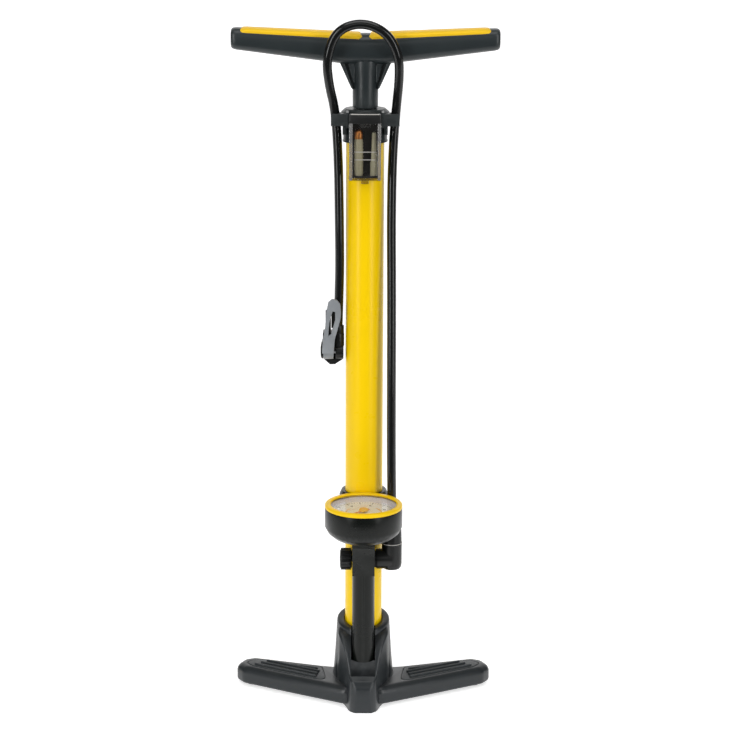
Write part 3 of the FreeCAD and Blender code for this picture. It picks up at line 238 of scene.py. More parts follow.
MATERIALS = {
    # edge amounts lighten convex edges, partly as rubbed wear and partly as painted highlight; the base has
    # the most
    "base_plastic": finish("base_plastic", (32, 37, 40), 0.32, edge_wear_and_highlight=1.0, bump=0.22, shine=0.42),
    "tread_rubber": finish("tread_rubber", (42, 47, 50), 0.42, edge_wear_and_highlight=0.7, bump=0.3),
    "foot_rubber": finish("foot_rubber", (22, 22, 23), 0.75, bump=0.4),
    "yellow_enamel": finish("yellow_enamel", (255, 212, 0), 0.28, grain=140.0, bump=0.02, cloud=0.03,
                            edge_wear_and_highlight=0.0, dust=0.0, spread=0.05, shine=0.24),
    "black_nylon": finish("black_nylon", (14, 16, 16), 0.3),
    "seal_rubber": finish("seal_rubber", (16, 16, 17), 0.6),
    "spring_steel": finish("spring_steel", (190, 190, 195), 0.3, metal=1.0, dust=0.0),
    "stand_plastic": finish("stand_plastic", (9, 13, 10), 0.28, bump=0.15, shine=0.24, dust=0.02),
    "zinc_steel": finish("zinc_steel", (186, 188, 190), 0.35, metal=1.0, grain=500.0),
    "yellow_plastic": finish("yellow_plastic", (253, 208, 14), 0.34, bump=0.04, cloud=0.04, edge_wear_and_highlight=0.05,
                             dust=0.0, coat=0.05, shine=0.15),
    "clear_plastic": clear_finish("clear_plastic", (250, 252, 252), 0.02, alpha=0.16),
    "dial_card": finish("dial_card", (238, 234, 224), 0.5, bump=0.02, cloud=0.03, edge_wear_and_highlight=0.0, dust=0.0),
    "brass": finish("brass", (200, 160, 84), 0.3, metal=1.0, grain=400.0, dust=0.0),
    "pointer_paint": finish("pointer_paint", (214, 74, 22), 0.4, bump=0.03, cloud=0.05, dust=0.0),
    "cap_plastic": finish("cap_plastic", (36, 42, 43), 0.34, bump=0.2, edge_wear_and_highlight=0.7),
    "white_acetal": finish("white_acetal", (220, 219, 214), 0.4),
    "tray_plastic": finish("tray_plastic", (30, 29, 27), 0.45),
    "smoked_plastic": clear_finish("smoked_plastic", (206, 202, 196), 0.03, alpha=0.3),
    # painted highlight: grey, half-opaque clear plastic for the box's thick sides, with the light bands seen
    # on them painted in
    "painted_side_highlight": clear_finish("painted_side_highlight", (150, 149, 148), 0.12, alpha=0.7, transmission=0.3),
    "side_amber": clear_finish("side_amber", (150, 140, 122), 0.05, alpha=0.72),
    "adapter_metal": finish("adapter_metal", (176, 170, 142), 0.4, metal=0.2, dust=0.0),
    "grey_plastic": finish("grey_plastic", (176, 172, 146), 0.45),
    "lever_grey": finish("lever_grey", (142, 146, 150), 0.3, bump=0.08, edge_wear_and_highlight=0.6),
    "hose_rubber": finish("hose_rubber", (10, 12, 12), 0.22, grain=600.0, bump=0.05, dust=0.0, coat=0.3),
    "rod_steel": finish("rod_steel", (205, 206, 208), 0.12, metal=1.0, grain=80.0, bump=0.01, cloud=0.04,
                        edge_wear_and_highlight=0.0, dust=0.0),
    "handle_plastic": finish("handle_plastic", (40, 47, 49), 0.34, bump=0.18, edge_wear_and_highlight=0.8, shine=0.4),
    "grip_rubber": finish("grip_rubber", (252, 203, 20), 0.5, grain=1100.0, bump=0.3, cloud=0.06, edge_wear_and_highlight=0.05,
                          dust=0.0, shine=0.3),
    "print_black": finish("print_black", (28, 26, 24), 0.5, bump=0.02, edge_wear_and_highlight=0.0, dust=0.0),
    "print_amber": finish("print_amber", (246, 178, 40), 0.5, bump=0.02, edge_wear_and_highlight=0.0, dust=0.0),
    "print_peach": finish("print_peach", (250, 206, 160), 0.5, bump=0.02, edge_wear_and_highlight=0.0, dust=0.0),
    "liner_grey": finish("liner_grey", (222, 218, 226), 0.45, bump=0.03, edge_wear_and_highlight=0.0, dust=0.0),
    "lid_black": finish("lid_black", (24, 25, 25), 0.32, edge_wear_and_highlight=0.3, dust=0.0),
    # painted highlight: a pale finish for thin strips that stand for light caught on edges
    "painted_edge_highlight": finish("painted_edge_highlight", (206, 203, 198), 0.3, bump=0.02, dust=0.0),
    "copper_tip": finish("copper_tip", (196, 128, 74), 0.3, metal=1.0, dust=0.0),
}


# pieces ------------------------------------------------------------------------------------------

def paint(thing, slot):
    """Give a piece one of the materials, in place of any it has."""
    thing.data.materials.clear()
    thing.data.materials.append(MATERIALS[slot])
    return thing


def link(name, mesh):
    """A new object in the scene."""
    thing = bpy.data.objects.new(name, mesh)
    bpy.context.scene.collection.objects.link(thing)
    return thing


def baked(thing):
    """Turn an object with modifiers, or a curve, into a plain mesh object of the same name."""
    bpy.context.view_layer.update()
    graph = bpy.context.evaluated_depsgraph_get()
    mesh = bpy.data.meshes.new_from_object(thing.evaluated_get(graph))
    place = thing.matrix_world.copy()
    name = thing.name
    bpy.data.objects.remove(thing, do_unlink=True)
    mesh.transform(place)
    return link(name, mesh)


def smooth(thing, angle):
    """Shade a piece smooth, with edges sharper than an angle in degrees kept crisp."""
    mesh = thing.data
    for face in mesh.polygons:
        face.use_smooth = True
    mesh.set_sharp_from_angle(angle=math.radians(angle))
    return thing


def stands_for(thing, node):
    """Let a piece take the place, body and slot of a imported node."""
    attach(thing, BODY[node])
    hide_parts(node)
    return paint(thing, SLOT[node])


def merged_copy(node):
    """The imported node's mesh as one closed surface with flat faces kept whole."""
    mesh = NODES[node].data.copy()
    for extra in ("custom_normal", "sharp_face", "sharp_edge"):
        if extra in mesh.attributes:
            mesh.attributes.remove(mesh.attributes[extra])
    work = bmesh.new()
    work.from_mesh(mesh)
    bmesh.ops.remove_doubles(work, verts=work.verts, dist=2e-6)
    bmesh.ops.dissolve_limit(work, angle_limit=math.radians(1.0), verts=work.verts, edges=work.edges)
    work.to_mesh(mesh)
    work.free()
    return mesh


def bevelled(thing, width, segments, angle=30.0):
    """The piece with its edges rounded by a width in millimetres."""
    bevel = thing.modifiers.new("ease", "BEVEL")
    bevel.width = width * MM
    bevel.segments = segments
    bevel.limit_method = "ANGLE"
    bevel.angle_limit = math.radians(angle)
    return smooth(baked(thing), 40.0)


def eased(node, width):
    """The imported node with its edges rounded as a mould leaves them."""
    return stands_for(bevelled(link(node + "_body", merged_copy(node)), width, 3, 28.0), node)


def lofted(name, sections):
    """A closed skin through rings of points, all with as many points."""
    work = bmesh.new()
    rings = [[work.verts.new(spot) for spot in section] for section in sections]
    count = len(rings[0])
    for first, second in zip(rings, rings[1:]):
        for index in range(count):
            after = (index + 1) % count
            work.faces.new((first[index], first[after], second[after], second[index]))
    work.faces.new(list(reversed(rings[0])))
    work.faces.new(rings[-1])
    bmesh.ops.recalc_face_normals(work, faces=work.faces)
    mesh = bpy.data.meshes.new(name)
    work.to_mesh(mesh)
    work.free()
    return link(name, mesh)


def blended(value, stops):
    """A value on a chain of (place, size) stops, straight from stop to stop."""
    for (start, low), (end, high) in zip(stops, stops[1:]):
        if value <= end:
            share = min(1.0, max(0.0, (value - start) / (end - start)))
            return low + (high - low) * share
    return stops[-1][1]


# repeated details --------------------------------------------------------------------------------

def row_group():
    """Geometry nodes: the incoming piece along a line, each copy turned and shrunk by its number."""
    tree = bpy.data.node_groups.new("row_of_pieces", "GeometryNodeTree")
    tree.interface.new_socket("Geometry", in_out="INPUT", socket_type="NodeSocketGeometry")
    for label, kind in (("Count", "NodeSocketInt"), ("Start", "NodeSocketVector"),
                        ("Step", "NodeSocketVector"), ("Turn", "NodeSocketVector"),
                        ("Shrink", "NodeSocketVector"), ("Finish", "NodeSocketMaterial")):
        tree.interface.new_socket(label, in_out="INPUT", socket_type=kind)
    tree.interface.new_socket("Geometry", in_out="OUTPUT", socket_type="NodeSocketGeometry")
    entry = tree.nodes.new("NodeGroupInput")
    out = tree.nodes.new("NodeGroupOutput")
    line = tree.nodes.new("GeometryNodeMeshLine")
    tree.links.new(entry.outputs["Count"], line.inputs["Count"])
    tree.links.new(entry.outputs["Start"], line.inputs["Start Location"])
    tree.links.new(entry.outputs["Step"], line.inputs["Offset"])
    number = tree.nodes.new("GeometryNodeInputIndex").outputs[0]
    turn = tree.nodes.new("ShaderNodeVectorMath")
    turn.operation = "SCALE"
    tree.links.new(entry.outputs["Turn"], turn.inputs[0])
    tree.links.new(number, turn.inputs["Scale"])
    shrink = tree.nodes.new("ShaderNodeVectorMath")
    shrink.operation = "SCALE"
    tree.links.new(entry.outputs["Shrink"], shrink.inputs[0])
    tree.links.new(number, shrink.inputs["Scale"])
    size = tree.nodes.new("ShaderNodeVectorMath")
    size.operation = "SUBTRACT"
    size.inputs[0].default_value = (1, 1, 1)
    tree.links.new(shrink.outputs[0], size.inputs[1])
    copies = tree.nodes.new("GeometryNodeInstanceOnPoints")
    tree.links.new(line.outputs[0], copies.inputs["Points"])
    tree.links.new(entry.outputs["Geometry"], copies.inputs["Instance"])
    tree.links.new(turn.outputs[0], copies.inputs["Rotation"])
    tree.links.new(size.outputs[0], copies.inputs["Scale"])
    solid = tree.nodes.new("GeometryNodeRealizeInstances")
    tree.links.new(copies.outputs[0], solid.inputs[0])
    coat = tree.nodes.new("GeometryNodeSetMaterial")
    tree.links.new(solid.outputs[0], coat.inputs["Geometry"])
    tree.links.new(entry.outputs["Finish"], coat.inputs["Material"])
    tree.links.new(coat.outputs[0], out.inputs[0])
    return tree


ROW = row_group()


def row_of(piece, slot, count, start=(0, 0, 0), step=(0, 0, 0), turn=(0, 0, 0), shrink=(0, 0, 0)):
    """A row or a wheel of copies of a piece, as one mesh."""
    nodes = piece.modifiers.new("row", "NODES")
    nodes.node_group = ROW
    values = {"Count": count, "Start": start, "Step": step, "Turn": turn, "Shrink": shrink,
              "Finish": MATERIALS[slot]}
    for item in ROW.interface.items_tree:
        if item.in_out == "INPUT" and item.name in values:
            nodes[item.identifier] = values[item.name]
    return baked(piece)


def rides(thing, node, slot):
    """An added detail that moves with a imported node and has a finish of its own."""
    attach(thing, BODY[node])
    return paint(thing, slot)


def bar(name, low, high, ease):
    """A small block between two corners in millimetres, with eased edges."""
    corners = [(low[0], low[1]), (high[0], low[1]), (high[0], high[1]), (low[0], high[1])]
    block = lofted(name, [[(x * MM, y * MM, z * MM) for x, y in corners] for z in (low[2], high[2])])
    return bevelled(block, ease, 2)


def lathed(name, profile, around, centre=(0.0, 0.0), lean=None):
    """A closed turning about an upright axis, from (radius, height) in millimetres. lean gives each
    ring's rise with depth."""
    rings = []
    for index, (radius, height) in enumerate(profile):
        slope = lean[index] if lean else 0.0
        rings.append([((centre[0] + radius * math.cos(math.tau * k / around)) * MM,
                       (centre[1] + radius * math.sin(math.tau * k / around)) * MM,
                       (height + slope * radius * math.sin(math.tau * k / around)) * MM)
                      for k in range(around)])
    return lofted(name, rings)


ARC_STEPS = 7


def rounded_outline(corners):
    """A closed outline whose corners, given as (x, y, radius), are turned as arcs."""
    spots = []
    count = len(corners)
    for index, (x, y, radius) in enumerate(corners):
        here = Vector((x, y))
        back = (Vector(corners[index - 1][:2]) - here).normalized()
        ahead = (Vector(corners[(index + 1) % count][:2]) - here).normalized()
        half = back.angle(ahead) / 2
        away = radius / math.tan(half)
        start = here + back * away
        end = here + ahead * away
        for step in range(ARC_STEPS + 1):
            share = step / ARC_STEPS
            spots.append((start * (1 - share) + here * share) * (1 - share)
                         + (here * (1 - share) + end * share) * share)
    return spots


def shifted(outline, inward):
    """The outline moved inward by a distance, along its own corner normals."""
    count = len(outline)
    area = sum(a.x * b.y - b.x * a.y for a, b in zip(outline, outline[1:] + outline[:1]))
    sign = 1 if area > 0 else -1
    spots = []
    for index, spot in enumerate(outline):
        before = (spot - outline[index - 1]).normalized()
        after = (outline[(index + 1) % count] - spot).normalized()
        normal = Vector((-(before.y + after.y), before.x + after.x)).normalized() * sign
        spots.append(spot + normal * inward / max(0.4, normal.dot(Vector((-after.y, after.x)) * sign)))
    return spots


def domed(name, outline, low, high, round_edge, steps=7, low_edge=0.0):
    """A plate with an upright wall, a rounded shoulder and, where asked, a rounded lower edge."""
    levels = []
    for step in range(5 if low_edge else 0):
        turn = math.pi / 2 * step / 5
        levels.append((low_edge * (1 - math.sin(turn)), low + low_edge * (1 - math.cos(turn))))
    levels.extend([(0.0, low + low_edge), (0.0, high - round_edge)])
    for step in range(1, steps + 1):
        turn = math.pi / 2 * step / steps
        levels.append((round_edge * (1 - math.cos(turn)), high - round_edge + round_edge * math.sin(turn)))
    rings = [[(spot.x * MM, spot.y * MM, height * MM) for spot in shifted(outline, inward)]
             for inward, height in levels]
    return lofted(name, rings)


def carved(thing, *tools, operation="DIFFERENCE"):
    """The piece less its tools, or what it shares with them. The tools are used up."""
    for tool in tools:
        cutter = thing.modifiers.new("carve", "BOOLEAN")
        cutter.operation = operation
        cutter.solver = "EXACT"
        cutter.object = tool
    thing = baked(thing)
    for tool in tools:
        bpy.data.objects.remove(tool, do_unlink=True)
    return thing


def trimmed(node, outline, width):
    """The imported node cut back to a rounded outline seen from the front, with its edges eased."""
    prism = domed("outline", rounded_outline(outline), -40.0, 40.0, 0.1, 1)
    prism.data.transform(Matrix.Rotation(math.pi / 2, 4, "X"))
    thing = carved(link(node + "_body", merged_copy(node)), prism, operation="INTERSECT")
    return stands_for(bevelled(thing, width, 3, 34.0), node)


def turned_over(outline):
    """The other side's outline, across the plane x = 0."""
    return [Vector((-spot.x, spot.y)) for spot in reversed(outline)]


def merged(name, things):
    """Several objects at the origin as one object."""
    work = bmesh.new()
    for thing in things:
        work.from_mesh(thing.data)
        bpy.data.objects.remove(thing, do_unlink=True)
    mesh = bpy.data.meshes.new(name)
    work.to_mesh(mesh)
    work.free()
    return link(name, mesh)


def tube(name, spots, radii, around, side):
    """A closed skin of rings along a line, each ring turned with as little twist as its neighbour allows."""
    rings = []
    for index, spot in enumerate(spots):
        ahead = (spots[min(index + 1, len(spots) - 1)] - spots[max(index - 1, 0)]).normalized()
        side = (side - ahead * side.dot(ahead)).normalized()
        other = ahead.cross(side)
        turns = [math.tau * k / around for k in range(around)]
        rings.append([spot + (side * math.cos(turn) + other * math.sin(turn)) * radii[index]
                      for turn in turns])
    return lofted(name, rings)


def swept(name, path, sizes, around=40):
    """A round tube along a path, with a radius at each point, all in millimetres."""
    spots = [Vector(spot) * MM for spot in path]
    return smooth(tube(name, spots, [size * MM for size in sizes], around, Vector((0, 1, 0))), 50.0)


# hose --------------------------------------------------------------------------------------------

HOSE_POINTS = [
    (0.0266, -0.0225, 0.186), (0.0256, -0.0227, 0.232), (0.0252, -0.0215, 0.318), (0.0249, -0.0175, 0.398),
    (0.0241, -0.0126, 0.468), (0.0249, -0.0092, 0.524), (0.0279, -0.0094, 0.566), (0.0306, -0.0182, 0.594),
    (0.0296, -0.0266, 0.616), (0.0185, -0.0276, 0.6355), (-0.0036, -0.0278, 0.6442),
    (-0.0262, -0.0275, 0.6365), (-0.0350, -0.0264, 0.612), (-0.0326, -0.0176, 0.587),
    (-0.0270, -0.0094, 0.5635), (-0.0242, -0.0090, 0.520), (-0.0233, -0.0088, 0.462),
    (-0.0229, -0.0063, 0.420), (-0.0236, -0.0034, 0.391), (-0.0244, -0.0025, 0.364)]
HOSE_WIDE = 0.0084


def hose_line():
    """The points that the hose's NURBS line gives between its control points."""
    curve = bpy.data.curves.new("hose_line", "CURVE")
    curve.dimensions = "3D"
    spline = curve.splines.new("NURBS")
    spline.points.add(len(HOSE_POINTS) - 1)
    for point, spot in zip(spline.points, HOSE_POINTS):
        point.co = (*spot, 1.0)
    spline.order_u = 3
    spline.use_endpoint_u = True
    spline.resolution_u = 14
    line = baked(link("hose_line", curve))
    spots = [vertex.co.copy() for vertex in line.data.vertices]
    bpy.data.objects.remove(line, do_unlink=True)
    return spots


def make_hose():
    """The hose as a tube along its line, and the line itself."""
    line = hose_line()
    hose = smooth(tube("air_hose", line, [HOSE_WIDE / 2] * len(line), 28, Vector((1, 0, 0))), 60.0)
    return stands_for(hose, "hose"), line


# handle ------------------------------------------------------------------------------------------

HALF_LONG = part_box("handle")[1][0]
MID_HALF = 17 * MM
BEAM_LOW = [(0.0, 604.5 * MM), (MID_HALF, 604.5 * MM), (HALF_LONG, 617.5 * MM)]
BEAM_HIGH = [(0.0, 632.0 * MM), (MID_HALF, 632.6 * MM), (HALF_LONG, 637.0 * MM)]
BEAM_DEEP = [(0.0, 15.5 * MM), (MID_HALF, 15.5 * MM), (HALF_LONG, 13.0 * MM)]
BEAM_POINTS = 40
BEAM_SQUARE = 0.68


def beam_ring(across, swell):
    """The handle's section at a distance along X: a squared oval."""
    low = blended(abs(across), BEAM_LOW)
    high = blended(abs(across), BEAM_HIGH)
    deep = blended(abs(across), BEAM_DEEP) * swell
    middle = (low + high) / 2
    tall = (high - low) / 2 * swell
    spots = []
    for index in range(BEAM_POINTS):
        turn = math.tau * index / BEAM_POINTS
        cosine = math.cos(turn)
        sine = math.sin(turn)
        spots.append((across, deep * math.copysign(abs(cosine) ** BEAM_SQUARE, cosine),
                      middle + tall * math.copysign(abs(sine) ** BEAM_SQUARE, sine)))
    return spots


def make_handle():
    """The beam with its rounded ends, the stem, and a gusset on each side of it."""
    places = [(-HALF_LONG, 0.74), (-HALF_LONG + 0.3 * MM, 0.83), (-HALF_LONG + 1.0 * MM, 0.91),
              (-HALF_LONG + 2.2 * MM, 0.965), (-HALF_LONG + 4.0 * MM, 0.993), (-HALF_LONG + 6.0 * MM, 1.0)]
    inner = [(HALF_LONG * share, 1.0) for share in (-0.8, -0.6, -0.4, -0.25)]
    half = places + inner + [(-MID_HALF - 2 * MM, 1.0), (-MID_HALF + 2 * MM, 1.0), (-8 * MM, 1.0)]
    rings = half + [(0.0, 1.0)] + [(-across, swell) for across, swell in reversed(half)]
    beam = smooth(lofted("handle_beam", [beam_ring(across, swell) for across, swell in rings]), 50.0)
    stem = lathed("handle_stem", [(10.6, 564.9), (11.2, 565.4), (11.5, 566.4), (11.7, 584.0), (12.2, 598.0),
                                  (13.5, 608.0)], 48)
    gusset = (("handle_web", 5.6, [(10.5, 581.5), (13.2, 585.0), (16.5, 592.0), (20.5, 601.0), (22.5, 607.0),
                                   (8.0, 610.0), (8.0, 581.5)]),
              ("web_rib", 8.2, [(9.5, 588.0), (11.0, 588.5), (16.0, 606.0), (9.5, 606.0)]),
              ("web_lip", 9.2, [(10.8, 581.9), (12.9, 583.8), (23.2, 606.5), (19.4, 606.5)]))
    parts = [stem]
    for side in (-1, 1):
        for name, deep, outline in gusset:
            faces = [[(side * across * MM, front * MM, height * MM) for across, height in outline]
                     for front in (-deep, deep)]
            parts.append(lofted(name, faces))
    stands_for(merged("handle_body", [beam] + [bevelled(piece, 1.1, 3, 35.0) for piece in parts]), "handle")


def make_grips():
    """Two soft pads on the handle's top, crowned, with a rounded rim standing proud of the plastic."""
    inner_reach = 1.0 * MM
    outer_reach = 2.2 * MM
    for side, node in ((-1, "grip_left"), (1, "grip_right")):
        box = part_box(node)
        start = min(abs(box[0][0]), abs(box[1][0])) - inner_reach
        end = max(abs(box[0][0]), abs(box[1][0])) + outer_reach
        rings = []
        for step in range(31):
            share = step / 30
            across = start + (end - start) * share
            cap = min(1.0, math.sqrt(max(0.0, 1 - (1 - min(1.0, (across - start) / (2.5 * MM))) ** 2)),
                      math.sqrt(max(0.0, 1 - (1 - min(1.0, (end - across) / (6 * MM))) ** 2)))
            cap = max(cap, 0.08)
            high = blended(across, BEAM_HIGH)
            wide = blended(across, BEAM_DEEP) * 0.95 * (0.7 + 0.3 * cap)
            ring = []
            for index in range(25):
                turn = math.pi * (0.04 + 0.92 * index / 24)
                cosine = math.cos(turn)
                sine = math.sin(turn)
                deep = wide * math.copysign(abs(cosine) ** 0.62, cosine)
                rise = high - 3.6 * MM + 4.4 * MM * (0.35 + 0.65 * cap) * sine ** 0.7
                ring.append((side * across, deep, rise))
            under = [(side * across, -wide * 0.8 + wide * 1.6 * k / 6, high - 7.5 * MM) for k in range(7)]
            rings.append(ring + under)
        pad = smooth(lofted(node + "_pad", rings), 60.0)
        stands_for(pad, node)


# base --------------------------------------------------------------------------------------------

FOOT = [(10, -47, 8.0), (71.5, -14.7, 60.0), (116.4, 9.8, 12.0), (124.3, 21.5, 10.0), (117.2, 35.8, 8.5),
        (106, 40.4, 8.5), (38, 19.5, 9.0), (8, 14, 7.0)]
TREAD = [(35, -25, 7.0), (71, -6.4, 40.0), (107, 13.4, 7.0), (115.5, 24.5, 7.0), (102, 31.4, 6.0),
         (40, 11.6, 7.0)]
TREAD_LOW = 18.9
RIB_HALF = 1.05
RIB_HIGH = 1.8


def make_foot(side, node):
    """One foot of the base with its recess, and the ribbed tread that lies in it."""
    outline = rounded_outline(FOOT)
    tread = rounded_outline(TREAD)
    if side < 0:
        outline = turned_over(outline)
        tread = turned_over(tread)
    foot = domed("foot_" + node, outline, 3.0, 20.0, 7.0, low_edge=3.0)
    recess = domed("recess", shifted(tread, -0.7), TREAD_LOW, 24.0, 0.1, 2)
    foot = smooth(carved(foot, recess), 32.0)
    pad = smooth(domed(node + "_pad", tread, TREAD_LOW, 20.25, 0.55, 4), 32.0)
    ribs = []
    for start, end, count in (((45.0, -14.6), (105.0, 17.2), 3), ((44.0, 6.0), (72.0, 15.4), 1)):
        reach = Vector(end) - Vector(start)
        across = Vector((-reach.y, reach.x)).normalized() * RIB_HALF
        path = [Vector(start) - across, Vector(end) - across, Vector(end) + across, Vector(start) + across]
        if side < 0:
            path = turned_over(path)
        origin = Vector((side * start[0], start[1]))
        rib = domed("rib", [spot - origin for spot in path], 0.0, RIB_HIGH, 0.8, 3)
        ribs.append(row_of(rib, "tread_rubber", count, (origin.x * MM, origin.y * MM, 20.1 * MM),
                           (side * -1.4 * MM, 6.6 * MM, 0.0), shrink=(0.07, 0.07, 0.0)))
    stands_for(merged(node + "_body", [pad] + ribs), node)
    return foot


def make_base():
    """The moulding: two domed feet, a tapering pedestal with a slanted collar, a nose and its channel."""
    feet = [make_foot(-1, "tread_left"), make_foot(1, "tread_right")]
    profile = [(31.5, 17.0), (30.2, 19.2), (29.0, 20.6), (28.5, 22.5), (28.2, 26.0), (27.0, 42.0),
               (26.2, 55.0), (25.1, 73.2), (24.9, 74.6), (24.2, 75.6), (23.4, 75.9), (19.2, 75.9),
               (18.4, 75.5), (17.6, 74.4), (17.6, 40.0)]
    lean = [0.0] * 6 + [0.06] + [0.2] * 7 + [0.0]
    pedestal = lathed("pedestal", profile, 96, lean=lean)
    stations = [(-55.8, 6.5, 23.0), (-55.0, 7.6, 25.2), (-52.5, 10.4, 29.6), (-51.2, 11.4, 30.7),
                (-48.5, 12.6, 32.4), (-45.0, 13.6, 36.6), (-40.0, 14.9, 44.0), (-35.0, 16.6, 52.0),
                (-30.0, 18.8, 58.2), (-25.0, 21.4, 63.4), (-20.0, 23.6, 67.4), (-12.0, 24.0, 70.2),
                (-4.0, 22.0, 70.6)]
    rings = []
    for front, half, top in stations:
        left = [(-half - 1.2, 0.0), (-half - 0.6, top * 0.45), (-half, top - 1.2), (-half + 0.9, top - 0.3),
                (-half + 2.2, top)]
        section = left + [(0.0, top + 0.2)] + [(-across, height) for across, height in reversed(left)]
        rings.append([(across * MM, front * MM, height * MM) for across, height in section])
    nose = lofted("nose", rings)
    channel_half = 11.4
    pieces = []
    for piece in (pedestal, nose):
        upper = bar("upper", (-channel_half, -49.0, 45.0), (channel_half, -15.0, 90.0), 0.01)
        lower = bar("lower", (-channel_half, -47.5, 8.0), (channel_half, -35.0, 90.0), 0.01)
        pieces.append(bevelled(carved(piece, upper, lower), 0.55, 2, 34.0))
    stands_for(merged("base_body", feet + pieces), "base")


def make_moulded():
    """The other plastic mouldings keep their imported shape, eased. The chuck's are also cut to an outline."""
    for node, width in (("gauge_stand", 1.6), ("barrel_clamp", 1.0), ("gauge_cup", 1.2), ("gauge_bezel", 0.5),
                        ("barrel_cap", 0.9), ("hose_ferrule", 0.5), ("chuck_ring", 0.5),
                        ("chuck_ferrule", 0.5), ("adapter_tray", 0.3), ("rubber_feet", 0.6),
                        ("handle_plug", 0.7), ("needle_adapter", 0.3), ("cone_adapter", 0.3)):
        eased(node, width)
    trimmed("chuck_body", [(-38.6, 357.0, 2.0), (-38.6, 349.0, 12.0), (-41.0, 342.0, 8.0),
                           (-40.0, 331.5, 7.0), (-32.0, 325.8, 5.0), (-25.0, 326.0, 5.0),
                           (-18.6, 332.5, 5.0), (-18.6, 357.0, 2.0)], 1.2)
    trimmed("chuck_lever", [(-39.3, 331.0, 1.5), (-28.9, 331.0, 1.5), (-27.4, 352.0, 30.0),
                            (-21.4, 374.0, 25.0), (-22.8, 390.1, 6.2), (-35.8, 390.1, 5.4),
                            (-38.4, 372.0, 25.0)], 0.9)


PORT_FRONT = -25.0
ARM_HIGH = 143.2
KNOB_HIGH = 143.0
ELBOW_PLACE = (26.6, -22.5)


def make_elbow():
    """The fitting: a short arm into an upright barrel with a rounded heel, and a thin bead painted light as a
    highlight.
    """
    arm = swept("elbow_arm", [(11.7, PORT_FRONT, ARM_HIGH), (12.4, PORT_FRONT, ARM_HIGH),
                              (26.0, -23.4, ARM_HIGH)], [8.8, 9.5, 9.5])
    upright = lathed("elbow_upright", [(0.4, 132.7), (5.4, 132.7), (7.6, 133.4), (8.9, 135.2), (9.4, 138.0),
                                       (9.5, 142.0), (9.5, 157.0), (9.8, 157.3), (9.8, 158.1), (9.4, 158.5),
                                       (8.9, 172.6), (8.4, 174.9), (7.0, 176.0), (0.4, 176.0)], 48,
                     ELBOW_PLACE)
    stands_for(merged("elbow_body", [smooth(arm, 40.0), smooth(upright, 40.0)]), "hose_elbow")
    # painted highlight: the collar's bead is pale where it stands for light along the collar
    bead = lathed("elbow_bead", [(9.5, 158.2), (9.95, 158.35), (9.95, 158.75), (9.5, 158.9)], 48, ELBOW_PLACE)
    rides(smooth(bead, 30.0), "hose_elbow", "painted_edge_highlight")


def make_knob():
    """The bleed knob: a barrel with rounded ends and raised ridges along its axis."""
    profile = [(0.0, 3.0), (-10.8, 3.0), (-10.8, 8.0), (-11.3, 9.0), (-12.2, 9.6), (-20.0, 9.6), (-21.4, 9.1),
               (-22.1, 8.0), (-22.2, 6.0)]
    core = swept("knob_core", [(across, PORT_FRONT, KNOB_HIGH) for across, radius in profile],
                 [radius for across, radius in profile], 48)
    ridge = bar("ridge", (-21.3, -0.75, 9.0), (-11.7, 0.75, 10.35), 0.35)
    ridge_count = 16
    ridges = row_of(ridge, "black_nylon", ridge_count, (0.0, PORT_FRONT * MM, KNOB_HIGH * MM),
                    turn=(math.tau / ridge_count, 0, 0))
    stands_for(merged("bleed_knob_body", [core, ridges]), "bleed_knob")


def ring_sector(name, inner, outer, start, end, low, high, centre):
    """Part of a flat ring about an upright axis, in millimetres and degrees."""
    corners = ((inner, low), (outer, low), (outer, high), (inner, high))
    sections = []
    for step in range(25):
        turn = math.radians(start + (end - start) * step / 24)
        sections.append([((centre[0] + radius * math.cos(turn)) * MM,
                          (centre[1] + radius * math.sin(turn)) * MM, height * MM)
                         for radius, height in corners])
    return lofted(name, sections)


def make_dial():
    """The gauge's printed scale, its zones and numbers, the liner round it and the needle's boss."""
    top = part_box("gauge_dial")[1][2] / MM
    middle = (0.0, -54.5)
    origin = (0.0, middle[1] * MM, top * MM)
    first_angle = 225
    scale_angle = 255
    number_count = 6
    number_radius = 20.6
    marks = []
    for count, inner, half in ((11, 25.2, 0.42), (51, 27.4, 0.18)):
        tick = bar("tick", (inner, -half, 0.02), (29.8, half, 0.14), 0.02)
        tick.data.transform(Matrix.Rotation(math.radians(first_angle), 4, "Z"))
        marks.append(row_of(tick, "print_black", count, origin,
                            turn=(0, 0, math.radians(-scale_angle / (count - 1)))))
    for index in range(number_count):
        turn = math.radians(first_angle - scale_angle / (number_count - 1) * index)
        text = bpy.data.curves.new("number", "FONT")
        text.body = str(2 * index)
        text.size = 6.0 * MM
        text.align_x = "CENTER"
        text.align_y = "CENTER"
        text.extrude = 0.05 * MM
        number = link("number", text)
        number.location = (number_radius * math.cos(turn) * MM,
                           (middle[1] + number_radius * math.sin(turn)) * MM, (top + 0.07) * MM)
        marks.append(baked(number))
    rides(merged("dial_print", marks), "gauge_dial", "print_black")
    for name, start, end, slot in (("zone_low", first_angle, 140, "print_peach"),
                                   ("zone_high", 45, -30, "print_amber")):
        zone = ring_sector(name, 15.5, 16.9, start, end, top + 0.02, top + 0.12, middle)
        rides(zone, "gauge_dial", slot)
    wall = ring_sector("dial_liner", 31.3, 33.0, 0, 359.9, top + 0.02, 203.2, middle)
    rides(smooth(wall, 40.0), "gauge_dial", "liner_grey")
    boss = lathed("needle_boss", [(0.3, top + 1.7), (4.2, top + 1.7), (4.4, top + 2.2), (3.8, top + 3.4),
                                  (2.4, top + 3.9), (0.3, top + 4.0)], 40, middle)
    rides(smooth(boss, 35.0), "gauge_pointer", "print_amber")


